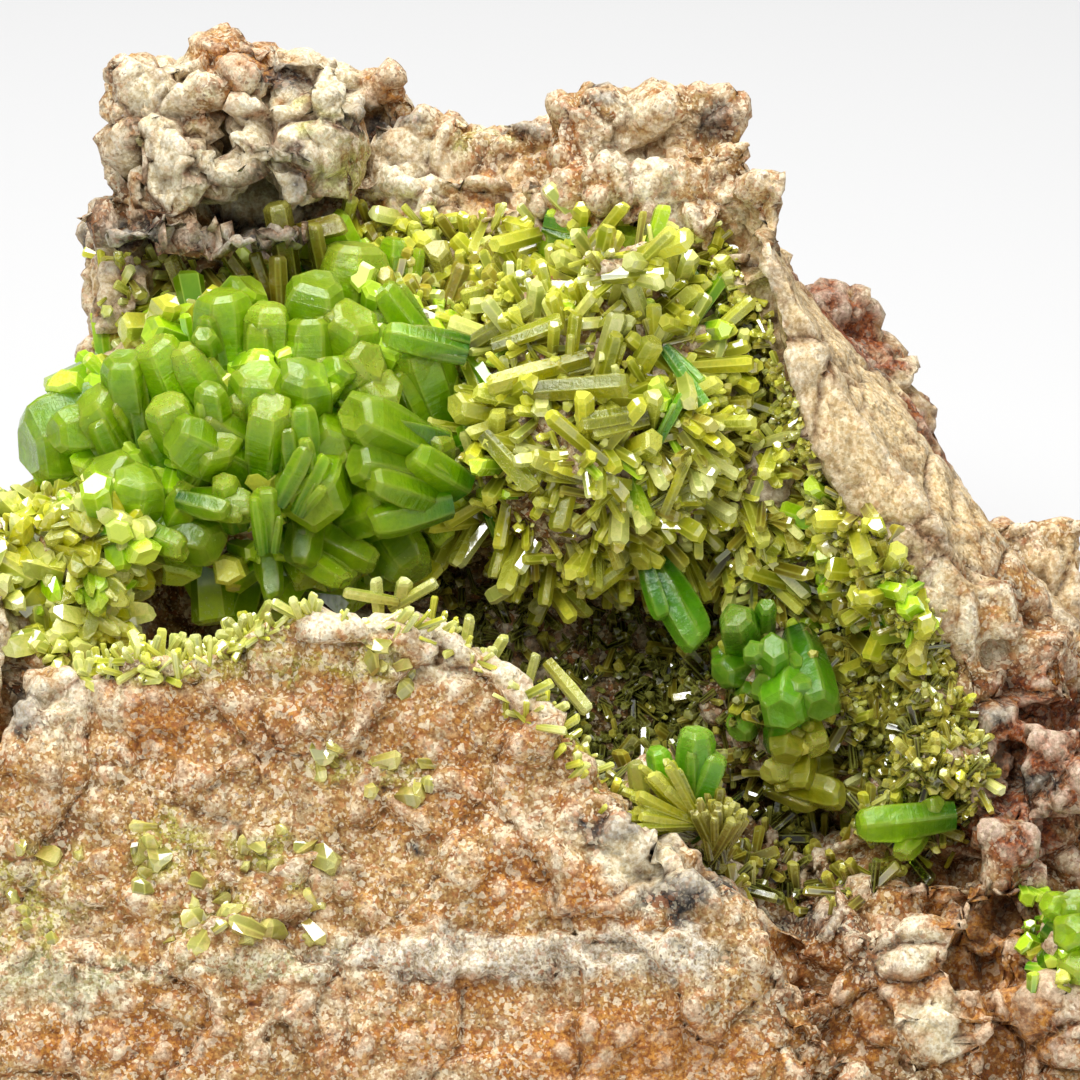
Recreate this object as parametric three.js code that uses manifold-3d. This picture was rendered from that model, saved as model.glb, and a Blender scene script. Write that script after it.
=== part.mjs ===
// Pyromorphite specimen: hexagonal green crystals in the open hollow of a broken ironstone and barite rock.
// Millimetres, +Z up. The origin is the middle of the specimen's box, on the flat cut base.
//
// The display face leans back. It is set out on a square sheet that stands in its plane: u runs right and
// v runs down from the sheet's top left corner, and out is the height towards the eye. What is deeper is
// spread a little, as the eye at SIGHT sees it.
import * as THREE from "three";
import { ConvexGeometry } from "three/addons/geometries/ConvexGeometry.js";
import { mergeVertices } from "three/addons/utils/BufferGeometryUtils.js";
import Module from "manifold-3d";

const wasm = await Module();
wasm.setup();

// ---------------------------------------------------------------- driving dimensions
const SHEET = 108; // side of the square sheet that frames the display face
const SIGHT = 600; // distance of the eye from the sheet
const LOOK_DOWN = 25; // degrees that the eye looks down from the level
const MIDDLE = new THREE.Vector3(-1.71, -5.08, 49); // the sheet's middle in the part's frame
const GAP = 0.32; // clearance between a crystal group and what carries it
const WELD = 1e-4; // vertices closer than this are one
const STOUT = 5.3; // width from which a crystal's end is bevelled
const BEVEL = 0.18; // the bevel's part of the width
const FOOT = 0.92; // width of a crystal at its foot, for a width of 1 at its end
const MOUND_SIDES = 8; // facets round a mound

// ---------------------------------------------------------------- frame and small helpers
const rad = THREE.MathUtils.degToRad;
const toPart = new THREE.Matrix4()
  .makeTranslation(MIDDLE.x, MIDDLE.y, MIDDLE.z)
  .multiply(new THREE.Matrix4().makeRotationX(rad(90 - LOOK_DOWN)));

/** A point of the sheet in the face's own axes: x right, y up the sheet, z towards the eye. */
function onFace(u, v, out) {
  const spread = 1 - out / SIGHT;
  return new THREE.Vector3((u - SHEET / 2) * spread, (SHEET / 2 - v) * spread, out);
}

/** A repeatable fraction from 0 to 1 for each whole number, so that no two stones are alike. */
function chance(n) {
  const s = Math.sin(n * 127.1 + 311.7) * 43758.5453;
  return s - Math.floor(s);
}

/** A direction in the face's axes: bearing turns from right to up, rise tips it towards the eye. */
function heading(bearing, rise) {
  const flat = Math.cos(rad(rise));
  return new THREE.Vector3(
    flat * Math.cos(rad(bearing)),
    flat * Math.sin(rad(bearing)),
    Math.sin(rad(rise)),
  );
}

/** Turns a closed geometry, already in the part's frame, into a solid. */
function solidOf(geometry) {
  const bare = geometry.index ? geometry.toNonIndexed() : geometry.clone();
  bare.deleteAttribute("normal");
  bare.deleteAttribute("uv");
  const merged = mergeVertices(bare, WELD);
  return new wasm.Manifold(
    new wasm.Mesh({
      numProp: 3,
      vertProperties: merged.attributes.position.array,
      triVerts: new Uint32Array(merged.index.array),
    }),
  );
}

/** Makes a new solid from two that are used up by it. */
function spend(operation, a, b) {
  const made = a[operation](b);
  a.delete();
  b.delete();
  return made;
}

/** Joins solids into one. */
function join(solids) {
  return solids.reduce((all, one) => spend("add", all, one));
}

/** The largest body of a solid. */
function mainBody(solid) {
  return solid.decompose().reduce((best, body) => (body.volume() > best.volume() ? body : best));
}

/** The named mesh of a solid. */
function meshOf(name, solid, look) {
  const { vertProperties, triVerts } = solid.getMesh();
  const geometry = new THREE.BufferGeometry()
    .setAttribute("position", new THREE.BufferAttribute(vertProperties, 3))
    .setIndex(new THREE.BufferAttribute(triVerts, 1));
  geometry.computeVertexNormals();
  const mesh = new THREE.Mesh(geometry, new THREE.MeshStandardMaterial({ flatShading: true, ...look }));
  mesh.name = name;
  return mesh;
}

// ---------------------------------------------------------------- rock forms
/**
 * A slab with a broken outline on the sheet, from its back to its front plane. The front plane leans by
 * lean[0] per mm to the right and lean[1] per mm down, its edge is chamfered, and the back is smaller by
 * taper.
 */
function slab({ outline, front, back, lean = [0, 0], chamfer = 2.5, trim = 0.93, taper = 0.88 }) {
  const shape = new THREE.Shape(outline.map(([u, v]) => new THREE.Vector2(u, -v)));
  const steps = chamfer ? 2 : 1;
  const geometry = new THREE.ExtrudeGeometry(shape, { depth: 1, steps, bevelEnabled: false });
  const at = geometry.attributes.position;
  const middle = outline.reduce((sum, [u, v]) => [sum[0] + u, sum[1] + v], [0, 0]);
  const [mu, mv] = middle.map((x) => x / outline.length);
  for (let i = 0; i < at.count; i++) {
    const layer = Math.round(at.getZ(i) * 2); // 0 back, 1 shoulder, 2 front face
    const scale = [taper, 1, trim][layer];
    const u = mu + (at.getX(i) - mu) * scale;
    const v = mv + (-at.getY(i) - mv) * scale;
    const face = front + lean[0] * (u - mu) + lean[1] * (v - mv);
    const out = [back, face - chamfer, face][layer];
    const p = onFace(u, v, out);
    at.setXYZ(i, p.x, p.y, p.z);
  }
  return solidOf(geometry.applyMatrix4(toPart));
}

/** A broken lump: the hull of a box's jittered corners and a bulge in front, centred at [u, v, out]. */
function stone([u, v, out], [width, height, depth], seed) {
  const points = [];
  const centre = onFace(u, v, out);
  let k = seed * 31;
  const reach = () => 0.36 + 0.16 * chance(k++);
  for (const x of [-1, 1])
    for (const y of [-1, 1])
      for (const z of [-1, 1]) {
        points.push([x * reach(), y * reach(), z * reach()]);
      }
  points.push([0.4 * (chance(k++) - 0.5), 0.4 * (chance(k++) - 0.5), 0.54]);
  const placed = points.map(
    ([x, y, z]) => new THREE.Vector3(centre.x + x * width, centre.y + y * height, centre.z + z * depth),
  );
  return solidOf(new ConvexGeometry(placed).applyMatrix4(toPart));
}

/**
 * A bowl-shaped hollow behind a rim outline: each deeper ring of the outline is drawn in towards the
 * centre, slowly at the mouth and faster at the bottom. inset makes it smaller all round.
 */
function bowl({ rim, centre: [cu, cv], top, bottom, rings = 3, inset = 0 }) {
  const shape = new THREE.Shape(rim.map(([u, v]) => new THREE.Vector2(u, -v)));
  const geometry = new THREE.ExtrudeGeometry(shape, { depth: 1, steps: rings, bevelEnabled: false });
  const at = geometry.attributes.position;
  for (let i = 0; i < at.count; i++) {
    const t = at.getZ(i); // 0 at the bottom, 1 at the mouth
    const du = at.getX(i) - cu;
    const dv = -at.getY(i) - cv;
    const scale = (0.4 + 0.6 * t ** 0.75) * (1 - inset / Math.hypot(du, dv));
    const p = onFace(cu + du * scale, cv + dv * scale, bottom + inset + t * (top - bottom));
    at.setXYZ(i, p.x, p.y, p.z);
  }
  return solidOf(geometry.applyMatrix4(toPart));
}

// ---------------------------------------------------------------- crystal forms
/**
 * A six-sided crystal with a flat end, bevelled on a stout one. [u, v, out] is the middle of its tip,
 * bearing and rise give the way that it points, then its length and its width across the corners.
 */
function crystal([u, v, out, bearing, rise, length, width]) {
  const r = width / 2;
  const end = width < STOUT ? [[r, length]] : [[r, length - BEVEL * width], [r * (1 - BEVEL), length]];
  const profile = [[0, 0], [r * FOOT, 0], ...end, [0, length]];
  const geometry = new THREE.LatheGeometry(profile.map(([x, y]) => new THREE.Vector2(x, y)), 6);
  const axis = heading(bearing, rise);
  const turn = new THREE.Quaternion()
    .setFromUnitVectors(new THREE.Vector3(0, 1, 0), axis)
    .multiply(new THREE.Quaternion().setFromAxisAngle(new THREE.Vector3(0, 1, 0), chance(u * 7 + v) * Math.PI));
  const root = onFace(u, v, out).addScaledVector(axis, -length);
  geometry.applyQuaternion(turn).translate(root.x, root.y, root.z);
  return solidOf(geometry.applyMatrix4(toPart));
}

/** The height of a domed mass of crystals, as a function of the place on the sheet. */
function domeHeight({ centre: [cu, cv], radii: [ru, rv], edge, height }) {
  return (u, v) => edge + height * (1 - ((u - cu) / ru) ** 2 - ((v - cv) / rv) ** 2);
}

/** A dome for crystals to grow on: half an ellipsoid, [u, v, out] its centre, then its half sizes. */
function mound([[u, v, out], [halfWidth, halfHeight, rise]]) {
  const centre = onFace(u, v, out);
  const geometry = new THREE.SphereGeometry(1, MOUND_SIDES, 5).rotateX(Math.PI / 2);
  geometry.scale(halfWidth, halfHeight, rise).translate(centre.x, centre.y, centre.z);
  return solidOf(geometry.applyMatrix4(toPart));
}

/** An outline that runs clockwise on the sheet, moved outwards by a distance all round. */
function widened(outline, by) {
  return outline.map(([u, v], i) => {
    const [pu, pv] = outline.at(i - 1);
    const [nu, nv] = outline[(i + 1) % outline.length];
    const before = new THREE.Vector2(v - pv, pu - u).normalize();
    const after = new THREE.Vector2(nv - v, u - nu).normalize();
    const reach = by / (1 + before.dot(after));
    return [u + (before.x + after.x) * reach, v + (before.y + after.y) * reach];
  });
}

/**
 * The room of a crystal group: a plain block in front of the rock, open towards the eye. With a gap it is
 * the larger block that is cut out of the rock.
 */
function room({ outline, back }, gap = 0) {
  return slab({
    outline: widened(outline, gap), front: 45, back: back - gap, chamfer: 0, trim: 1, taper: 1,
  });
}

// ---------------------------------------------------------------- the rock
const BELOW = 125; // how far down the sheet the masses run before the base is cut

// Masses that the hollow is broken into.
const MASSES = {
  back: {
    outline: [
      [11, 40], [14, 24], [30, 20], [38, 14], [50, 15], [72, 24], [88, 44], [104, 68], [111, 90],
      [110, BELOW], [-4, BELOW], [-6, 96], [-3, 70], [2, 54],
    ],
    front: -16, back: -38, chamfer: 0, taper: 0.93,
  },
  rightFlank: {
    outline: [
      [64, 22], [76, 22], [79, 26.2], [80.5, 30], [83, 34], [84.5, 38.5], [92, 48.5],
      [98, 60], [102, 90], [100, BELOW], [62, BELOW], [60, 60],
    ],
    front: 3, back: -33, lean: [-0.12, 0.03], chamfer: 3, trim: 0.96, taper: 0.94,
  },
  leftFlank: {
    outline: [
      [11, 31], [7.7, 35], [5.5, 40.5], [3, 50], [14, 60], [40, 66], [44, 40], [30, 31],
    ],
    front: -9, back: -34, lean: [0, 0.15], chamfer: 0,
  },
  bottom: {
    outline: [
      [-7, 84], [6, 78], [45, 83], [72, 101], [88, 104], [110, 98], [116, 108], [114, BELOW],
      [-8, BELOW],
    ],
    front: 12, back: -38, chamfer: 0,
  },
};
const HOLLOW = {
  rim: [
    [70, 24], [79, 37], [85, 46], [90, 56], [94, 64], [96.5, 75], [94, 86], [84, 94], [66, 90],
    [40, 80], [18, 73], [6, 50], [10, 36], [20, 27], [34, 23], [52, 21],
  ],
  centre: [55, 60], top: 8, bottom: -23,
};

// The rim of the hollow, its peaks, and the broken rock behind and below.
const RIMS = {
  frontSlab: {
    outline: [
      [-9, 84], [-4, 77], [0, 74], [3.5, 68.2], [10.5, 66.5], [19, 66], [30.5, 59.6], [43.5, 60.2],
      [45, 63], [52, 67.6], [55.6, 70], [60, 79], [64, 83], [72, 89.2], [80.6, 99], [87, 108],
      [90, BELOW], [-10, BELOW],
    ],
    front: 18.5, back: 2, lean: [0.02, 0.09], chamfer: 2.2, trim: 0.975, taper: 0.94,
  },
  leftShoulder: {
    outline: [
      [-7, 56], [-3, 52.4], [0, 51], [3, 49.2], [9, 49], [13, 50.5], [14, 56], [12.5, 62], [8, 65.4],
      [4, 68], [1, 73.4], [-3, 77], [-8, 82], [-10, 70],
    ],
    front: 4, back: -30, lean: [0.1, 0.2],
  },
  column: {
    outline: [
      [10.2, 19], [21, 20], [20.6, 27], [19.6, 30], [17.4, 33.5], [19, 38], [9, 39], [10, 34],
      [10.6, 30], [10.2, 26],
    ],
    front: -14, back: -30, chamfer: 0,
  },
  leftPeak: {
    outline: [
      [11.8, 8.5], [13, 6.7], [19.6, 5.4], [20.4, 4.4], [26.2, 4.4], [32, 8], [36.2, 14.5], [37, 20],
      [35, 23.4], [20, 26], [8.8, 21.3], [11, 19],
    ],
    front: -13, back: -27, lean: [0.12, 0.1], chamfer: 3, trim: 0.86, taper: 0.9,
  },
  leftPeakBack: {
    outline: [[13, 12], [20, 7], [28, 8], [35, 14], [38, 26], [34, 40], [12, 40], [11, 24]],
    front: -22, back: -40, chamfer: 0, taper: 0.82,
  },
  backRidge: {
    outline: [
      [31, 9], [33, 7.6], [39, 7.8], [41.6, 10], [47, 11.8], [57, 13.2], [64, 30], [30, 32],
    ],
    front: -27, back: -42, chamfer: 0, taper: 0.84,
  },
  rightPeak: {
    outline: [
      [54.8, 15], [57, 12], [59, 10], [62, 9.1], [65, 8.8], [70, 9.2], [73.6, 10.5], [73, 14],
      [75, 17.5], [76.4, 21.5], [79, 27], [76, 31], [68, 30], [58, 28], [55, 22],
    ],
    front: -9, back: -25, lean: [0.1, 0.1], chamfer: 3, trim: 0.88,
  },
  rightPeakBack: {
    outline: [[57, 15], [63, 11], [71, 12], [76, 22], [80, 34], [76, 44], [56, 40], [54, 24]],
    front: -20, back: -39, chamfer: 0, taper: 0.84,
  },
  backRight: {
    outline: [
      [76, 27], [80, 26.4], [83.5, 33], [88, 41], [94.5, 44.4], [102.5, 56], [108, 61.8], [114, 70],
      [117, 90], [117, BELOW], [78, BELOW], [74, 50],
    ],
    front: -25, back: -42, lean: [0, 0.05], chamfer: 0, taper: 0.85,
  },
  rightShoulder: {
    outline: [
      [93.4, 55.6], [97, 57], [101, 58.4], [105, 62.6], [109.5, 68], [113.5, 76], [116, 88],
      [115, BELOW], [92, BELOW], [95, 90], [97, 78], [94, 66],
    ],
    front: -5, back: -30, lean: [-0.05, 0.2],
  },
  lowerRight: {
    outline: [
      [83.4, 95], [85, 91.8], [88, 90.8], [93, 91.2], [97, 92.6], [99, 95.2], [98.6, 101],
      [99.5, 108], [99, BELOW], [84, BELOW], [81, 110], [82, 101],
    ],
    front: 14, back: -20, lean: [0, 0.05], chamfer: 2,
  },
  farRight: {
    outline: [[99, 93], [104, 90.4], [110, 92], [116, 100], [117, BELOW], [97, BELOW], [97.6, 100]],
    front: 8, back: -24, lean: [-0.1, 0.1],
  },
  rear: {
    outline: [[14, 48], [34, 30], [58, 32], [84, 52], [100, 78], [96, 104], [60, 112], [20, 106], [6, 80]],
    front: -34, back: -49, chamfer: 0, taper: 0.8,
  },
};

// Lumps: centre [u, v, out] and size [width, height, depth].
const PEAK_LUMPS = [
  [[15, 10.8, -14], [7.6, 9.4, 10]], [[19.4, 13.5, -10.5], [6.6, 11, 8]], [[24, 7.4, -14], [9, 7, 9]],
  [[30, 9.8, -12.6], [9, 9, 8]], [[27.6, 15.8, -9], [9, 11, 8]], [[33, 16, -12], [7.4, 14, 8]],
  [[18.6, 20.4, -9.8], [13, 9, 8]],
];
const COLUMN_LUMPS = [[[13, 31.4, -12.8], [7, 11, 6]]];
const RIDGE_LUMPS = [
  [[41.2, 16.8, -24], [10.6, 11, 8]], [[36, 10, -30], [8, 6, 8]], [[50, 19, -25], [13, 13, 9]],
];
const RIGHT_PEAK_LUMPS = [
  [[59.4, 14.4, -13], [8.6, 10, 9]], [[65.4, 12.2, -12.6], [9, 7, 8]], [[71, 12.4, -12.6], [7, 7, 8]],
  [[63, 20.4, -9.5], [11, 9, 7]], [[71, 18.6, -9.4], [10, 9, 8]],
];
const RIGHT_LUMPS = [
  [[97.4, 61.4, -4], [9.4, 7, 7]], [[103, 67, -6], [10, 8, 8]], [[98.6, 70.6, -3], [6, 9, 7]],
  [[106, 77, -2], [10, 10, 9]], [[100, 86, 2], [9, 10, 9]], [[91, 97, 10], [13.6, 10, 9]],
  [[94, 105, 12.4], [12, 9, 8]], [[104, 105, 8], [11, 12, 8]],
];
const SHOULDER_LUMPS = [
  [[0, 55, 1], [9, 7, 8]], [[-3, 63, 3], [10, 11, 9]], [[-4, 72, 7], [9, 9, 9]],
];
const SLAB_LUMPS = [
  [[37, 62.8, 14.6], [14, 5, 6]], [[63, 87, 15], [10, 9, 6]],
];

/** Lumps strewn along a line out of sight, each a little off it: count, its ends, size and a seed. */
function strewn(count, [from, to], size, seed) {
  return Array.from({ length: count }, (_, i) => {
    const off = (k) => (chance(seed + i * 5 + k) - 0.5) * size;
    const at = from.map((x, k) => x + ((to[k] - x) * (i + 0.5)) / count + off(k) * 0.7);
    const grow = 0.8 + 0.6 * chance(seed + i * 5 + 3);
    return [at, [size * grow, size * 0.8 * grow, size * (1.7 - grow)]];
  });
}
const HIDDEN_LUMPS = [
  ...strewn(2, [[5, 60, -30], [26, 26, -34]], 18, 11),
  ...strewn(3, [[40, 22, -38], [102, 68, -36]], 21, 53),
  ...strewn(2, [[24, 64, -44], [90, 86, -44]], 28, 97),
  ...strewn(2, [[10, 94, -36], [106, 98, -36]], 28, 131),
  ...strewn(1, [[112, 84, -28], [114, 94, -8]], 18, 211),
];

// Pits and gaps between the lumps: centre and size, as for a lump.
const PITS = [
  [[22.8, 13.6, -8], [3.4, 7.6, 9]], [[66.2, 21, -4.6], [2.8, 4, 8]], [[36, 12.4, -25], [6, 3.4, 7]],
  [[2.2, 71.4, 9], [4.4, 6.4, 14]], [[97.8, 95.8, 12], [4.8, 6, 13]], [[78, 90, 2], [10, 6, 12]],
];

/** Lumps or pits as solids. */
function stones(list, seed) {
  return list.map(([centre, size], i) => stone(centre, size, seed + i));
}

/** The rock, with the rooms of the crystal groups cut out of it. */
function makeRock(rooms) {
  const mass = spend("subtract", join(Object.values(MASSES).map(slab)), bowl(HOLLOW));
  const lumps = [
    PEAK_LUMPS, COLUMN_LUMPS, RIDGE_LUMPS, RIGHT_PEAK_LUMPS, RIGHT_LUMPS, SHOULDER_LUMPS, SLAB_LUMPS,
    HIDDEN_LUMPS,
  ].flatMap((list, i) => stones(list, 500 + 50 * i));
  const whole = join([mass, ...Object.values(RIMS).map(slab), ...lumps]);
  const under = solidOf(new THREE.BoxGeometry(400, 400, 100).translate(0, 0, -50));
  const cuts = [...stones(PITS, 1000), ...rooms.map((r) => room(r, GAP)), under];
  return mainBody(cuts.reduce((left, cut) => spend("subtract", left, cut), whole));
}

// ---------------------------------------------------------------- the crystal groups
// A group has its room in front of the rock, beds that its crystals grow on, and the crystals, each
// [u, v, out, bearing, rise, length, width]. A domed group's out is counted from its dome.
const FILL_NEEDLES = 18; // needles between the mound's listed ones, spread in a sunflower spiral
const GOLDEN_TURN = 137.5;

/** Needles that fill a dome: they point away from its middle. */
function fillNeedles({ centre: [cu, cv], radii: [ru, rv] }) {
  return Array.from({ length: FILL_NEEDLES }, (_, i) => {
    const away = Math.sqrt((i + 0.5) / FILL_NEEDLES);
    const bearing = GOLDEN_TURN * i;
    const u = cu + 0.86 * ru * away * Math.cos(rad(bearing));
    const v = cv - 0.88 * rv * away * Math.sin(rad(bearing));
    const rise = 78 - 62 * away + 24 * (chance(i) - 0.5);
    const turn = 60 * (chance(i + 30) - 0.5);
    return [u, v, 1.2 + 1.4 * chance(i + 60), bearing + turn, rise, 5.5, 2.1 + chance(i + 90)];
  });
}

const NEEDLE_DOME = { centre: [59, 43], radii: [21, 18], edge: -11, height: 15 };
const GROUPS = {
  stout_crystal_cluster: {
    look: 0x8fb81f,
    room: {
      outline: [
        [-3, 38], [9, 34], [20, 28], [30, 21], [43, 21], [43.4, 29], [47, 34], [46, 62], [17, 62],
        [14, 51.6], [-4, 51.6],
      ],
      back: -16,
    },
    dome: { centre: [25, 44], radii: [24, 19], edge: -6, height: 12 },
    mounds: [[[25.4, 44.6, -16], [21.6, 15.4, 18]], [[38.6, 33, -16], [7, 10, 9]]],
    crystals: [
      // the large lime crystal at the left end, and the frosted ones below it
      [2.8, 45, 0, 197, 15, 11, 8.6], [10.4, 46.4, 1, 120, 35, 5, 5.2], [14, 47.4, 1, 75, 35, 5, 5],
      [9, 39.6, 0, 120, 30, 5, 5],
      // the barrels along the upper left
      [12.4, 35.6, 0.6, 97, 25, 6, 4.4], [15.2, 34.2, 0.4, 115, 22, 7, 5.4], [18, 34.6, 0, 122, 12, 6, 3.6],
      [22.4, 29.2, 1.4, 92, 20, 7, 5.2], [20.3, 33.4, 1, 100, 60, 3, 2.7], [26.8, 30.4, 0.4, 88, 14, 6, 4.8],
      [31.8, 27.8, 2.4, 80, 30, 8, 6.2], [35.6, 31.4, 2, 60, 35, 6, 5.2], [37.2, 36, 1.6, 40, 40, 5, 5],
      // the middle
      [25.6, 37, 0.6, 96, 42, 5, 5.4], [30.2, 36.8, 0.6, 84, 42, 5, 5.4], [21, 38.6, 1, 95, 25, 5, 3],
      [27, 40.2, 1.6, 84, 36, 4, 4.4], [17.2, 43.4, 1.2, 152, 32, 7, 5.6], [30.3, 40.6, 1.6, 92, 16, 5, 2.5],
      [22.4, 47.8, 0.8, 100, 42, 4, 2.6],
      // the right
      [38.6, 38.4, 1.4, 45, 45, 5, 4.6], [35.2, 41.6, 1.8, 155, 36, 7, 5.4], [43.4, 43, 2.6, 80, 36, 6, 4.2],
      [35.4, 46.4, 1.6, 168, 40, 6, 4.8], [39, 50, 1.4, 20, 50, 5, 5],
      // the lower part
      [31.2, 50.4, 1.8, 270, 56, 6, 7], [37, 52.4, 1.6, 195, 16, 5, 3.4], [41.6, 57.4, 0.6, 302, 25, 7, 5.4],
      [21.6, 54.6, 0.6, 342, 22, 6, 4.6], [25.6, 50.8, 1.2, 356, 12, 5, 3.4],
      [27.4, 60, 1, 278, 18, 6, 2.6], [37.6, 56.4, 0, 334, 6, 8, 3.8],
      // behind, towards the gap
      [35.6, 24.4, 1, 82, 16, 9, 6.4], [38.2, 28.8, 1.8, 128, 10, 6, 2.8], [38.4, 33.4, 2, 166, 10, 6, 3.2],
      [41.4, 34, 0, 112, 22, 7, 6],
    ],
  },
  needle_druse: {
    look: 0xb5bd3a,
    room: {
      outline: [
        [50.4, 20.6], [74, 20], [79, 38], [81.6, 57], [72, 63.6], [46.6, 63], [47.8, 34], [44, 28.6],
        [44.4, 25],
      ],
      back: -18,
    },
    dome: NEEDLE_DOME,
    mounds: [[[60, 43, -18], [19.4, 18, 19.4]]],
    crystals: [
      // along the top
      [55.6, 22.8, 4, 92, 12, 8, 4], [63.4, 24.2, 3.4, 346, 6, 7, 2.8], [64.4, 22.8, 2.4, 122, 20, 5, 3.2],
      [67.4, 24, 2, 62, 30, 5, 3.2], [64.5, 29.5, 2, 356, 6, 5, 2.4],
      // the upper left
      [53.4, 30.6, 2, 32, 6, 6, 2.6], [56.2, 32, 2.4, 20, 10, 5, 2.6], [46.2, 29.8, 2.6, 196, 8, 5, 2.8],
      // the middle
      [48.8, 38.8, 2.4, 196, 8, 8, 2.8], [62.8, 38.2, 2, 4, 12, 7, 3.4], [70.6, 40.8, 1.4, 305, 8, 5, 2.2],
      [53.4, 48.8, 1.6, 312, 12, 5, 2.6], [53, 45.8, 2, 160, 36, 5, 3], [55.8, 53, 1.4, 256, 16, 6, 2.5],
      [70.2, 49.8, 2, 2, 22, 5, 2.6], [64, 56.4, 2, 268, 52, 5, 3.2],
      // hanging under it
      [58.6, 59.4, 3, 218, 12, 6, 2.1], [49.4, 57.8, 3, 255, 12, 6, 2], [54.4, 60.6, 3, 262, 16, 6, 2.2],
      [76, 57.4, 6, 262, 14, 7, 2.5], [62.6, 60.4, 2.4, 272, 20, 6, 2.2],
      ...fillNeedles(NEEDLE_DOME),
    ],
  },
  emerald_crystal_spray: {
    look: 0x5fae2a,
    room: {
      outline: [
        [73.4, 64], [82.6, 58], [89, 62], [88.4, 83], [80, 84.6], [67, 73], [67, 64.8],
      ],
      back: -18,
    },
    lumps: [[[77.4, 69.6, -13], [17, 22, 18]]],
    crystals: [
      [77.6, 62, 0.4, 268, 14, 5, 2.5], [74, 62.6, -1, 112, 62, 6, 4], [77.4, 64.8, 0, 90, 60, 6, 3.8],
      [79.8, 66, -1, 60, 60, 5, 2.6], [78.3, 71.5, 1, 250, 55, 8, 5], [82.2, 71, 0, 285, 46, 7, 4.4],
      [72, 67.6, -4, 200, 50, 5, 3.2], [73.6, 73.4, -5, 240, 40, 5, 3], [78.6, 76.6, -2, 262, 40, 6, 3.8],
      [76, 77.6, -3, 190, 30, 5, 2.6], [84.2, 79.6, -2.4, 345, 30, 6, 2.9],
    ],
  },
  ledge_crystal_cluster: {
    look: 0x8aa62c,
    room: {
      outline: [[60, 76.6], [63, 71], [73, 70.6], [76, 91], [72, 88.8], [64, 82.4]],
      back: 5,
    },
    lumps: [[[66.8, 80.6, 9.6], [13, 8, 9]], [[71.6, 83.6, 9.4], [7, 10, 8]]],
    crystals: [
      [69, 72.9, 11, 97, 12, 7, 3], [71.4, 74.6, 10, 70, 12, 7, 3], [65.8, 74.8, 11, 112, 12, 6, 2.4],
      [72.6, 79, 12, 80, 30, 5, 2.8],
    ],
  },
  peak_foot_crystals: {
    look: 0x8a8a2e,
    room: {
      outline: [[15, 24], [25, 18.4], [30.4, 18.4], [28.6, 22], [20, 27.6], [15, 31]],
      back: -16.4,
    },
    beds: [
      {
        outline: [[16, 25.4], [22, 25], [26, 20.6], [29.6, 20.4], [27, 24.6], [19, 26], [16.4, 30]],
        front: -11, back: -18, chamfer: 2, trim: 0.9, taper: 1,
      },
    ],
    crystals: [
      [27.4, 20, -7, 100, 25, 6, 3.7], [27.8, 23.6, -8, 92, 16, 4, 2.2], [22.4, 24.4, -9, 126, 6, 5, 2.2],
      [17.6, 25, -10, 110, 6, 5, 2.2], [17, 28.6, -10, 160, 10, 5, 2.4],
    ],
  },
  left_shoulder_crystals: {
    look: 0xb4bd45,
    room: {
      outline: [[1, 52.4], [11, 52.4], [15.6, 57], [15.6, 63], [9.4, 65.4], [1, 62]],
      back: 2.4,
    },
    mounds: [[[8.2, 59, 2.4], [7.4, 7, 6]]],
    crystals: [
      [3.4, 54.6, 6.8, 170, 30, 4, 4], [8, 53.8, 8.4, 100, 40, 4, 4.4], [13, 57, 7.6, 5, 20, 5, 4.2],
      [8, 58.4, 10, 200, 60, 4, 4.8], [11.6, 61.6, 9, 325, 40, 5, 4.4],
    ],
  },
  lying_crystal: {
    look: 0x86b02c,
    room: { outline: [[82, 80], [90, 78], [97, 78], [97, 88], [82, 87]], back: -3 },
    lumps: [[[93, 83.6, -0.4], [7, 6.6, 7]]],
    crystals: [[85.4, 82.6, 3.6, 184, 12, 8.4, 3.6], [94, 80.4, 3, 40, 40, 4, 2.4]],
  },
  side_crystal_cluster: {
    look: 0x8dbb25,
    room: {
      outline: [[102.4, 87.6], [111, 87], [114, 92], [113, 99.6], [106, 99.8]],
      back: 6,
    },
    lumps: [[[107.6, 94, 9.4], [8, 8.6, 9]]],
    crystals: [
      [105, 90.2, 12, 160, 24, 5, 3], [108.4, 89.4, 12.4, 80, 30, 5, 3.4], [106.4, 93.6, 15, 190, 50, 5, 4],
      [110.6, 93, 14, 30, 40, 5, 3.6], [107.4, 97.6, 13.6, 250, 30, 5, 3.6],
    ],
  },
  rim_spray_left: {
    look: 0xc3c878,
    room: {
      outline: [[10.4, 66.5], [10.4, 61], [30, 57], [30, 59.8], [22, 64.5], [18.6, 66.2]],
      back: 8.4,
    },
    beds: [
      {
        outline: [[11, 66], [13, 64.2], [19, 63.8], [29, 59.4], [24, 64], [19, 66.4]],
        front: 15, back: 7, chamfer: 0,
      },
    ],
    crystals: [
      [13, 62.6, 14, 105, 25, 4, 2], [18.6, 61.8, 14.4, 75, 30, 4, 2], [24.4, 60, 14.4, 80, 25, 4, 2],
    ],
  },
  rim_spray_right: {
    look: 0xc3c878,
    room: {
      outline: [
        [45, 62.8], [48, 60], [56, 63], [62, 73], [62.2, 80.6], [60, 78.8], [55.4, 71.8], [54.8, 68.8],
        [48.4, 65],
      ],
      back: 6,
    },
    beds: [
      {
        outline: [[45.4, 62.6], [48, 62], [54, 66], [58.6, 71.6], [60.6, 77], [59, 78.4], [54, 69]],
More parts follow.
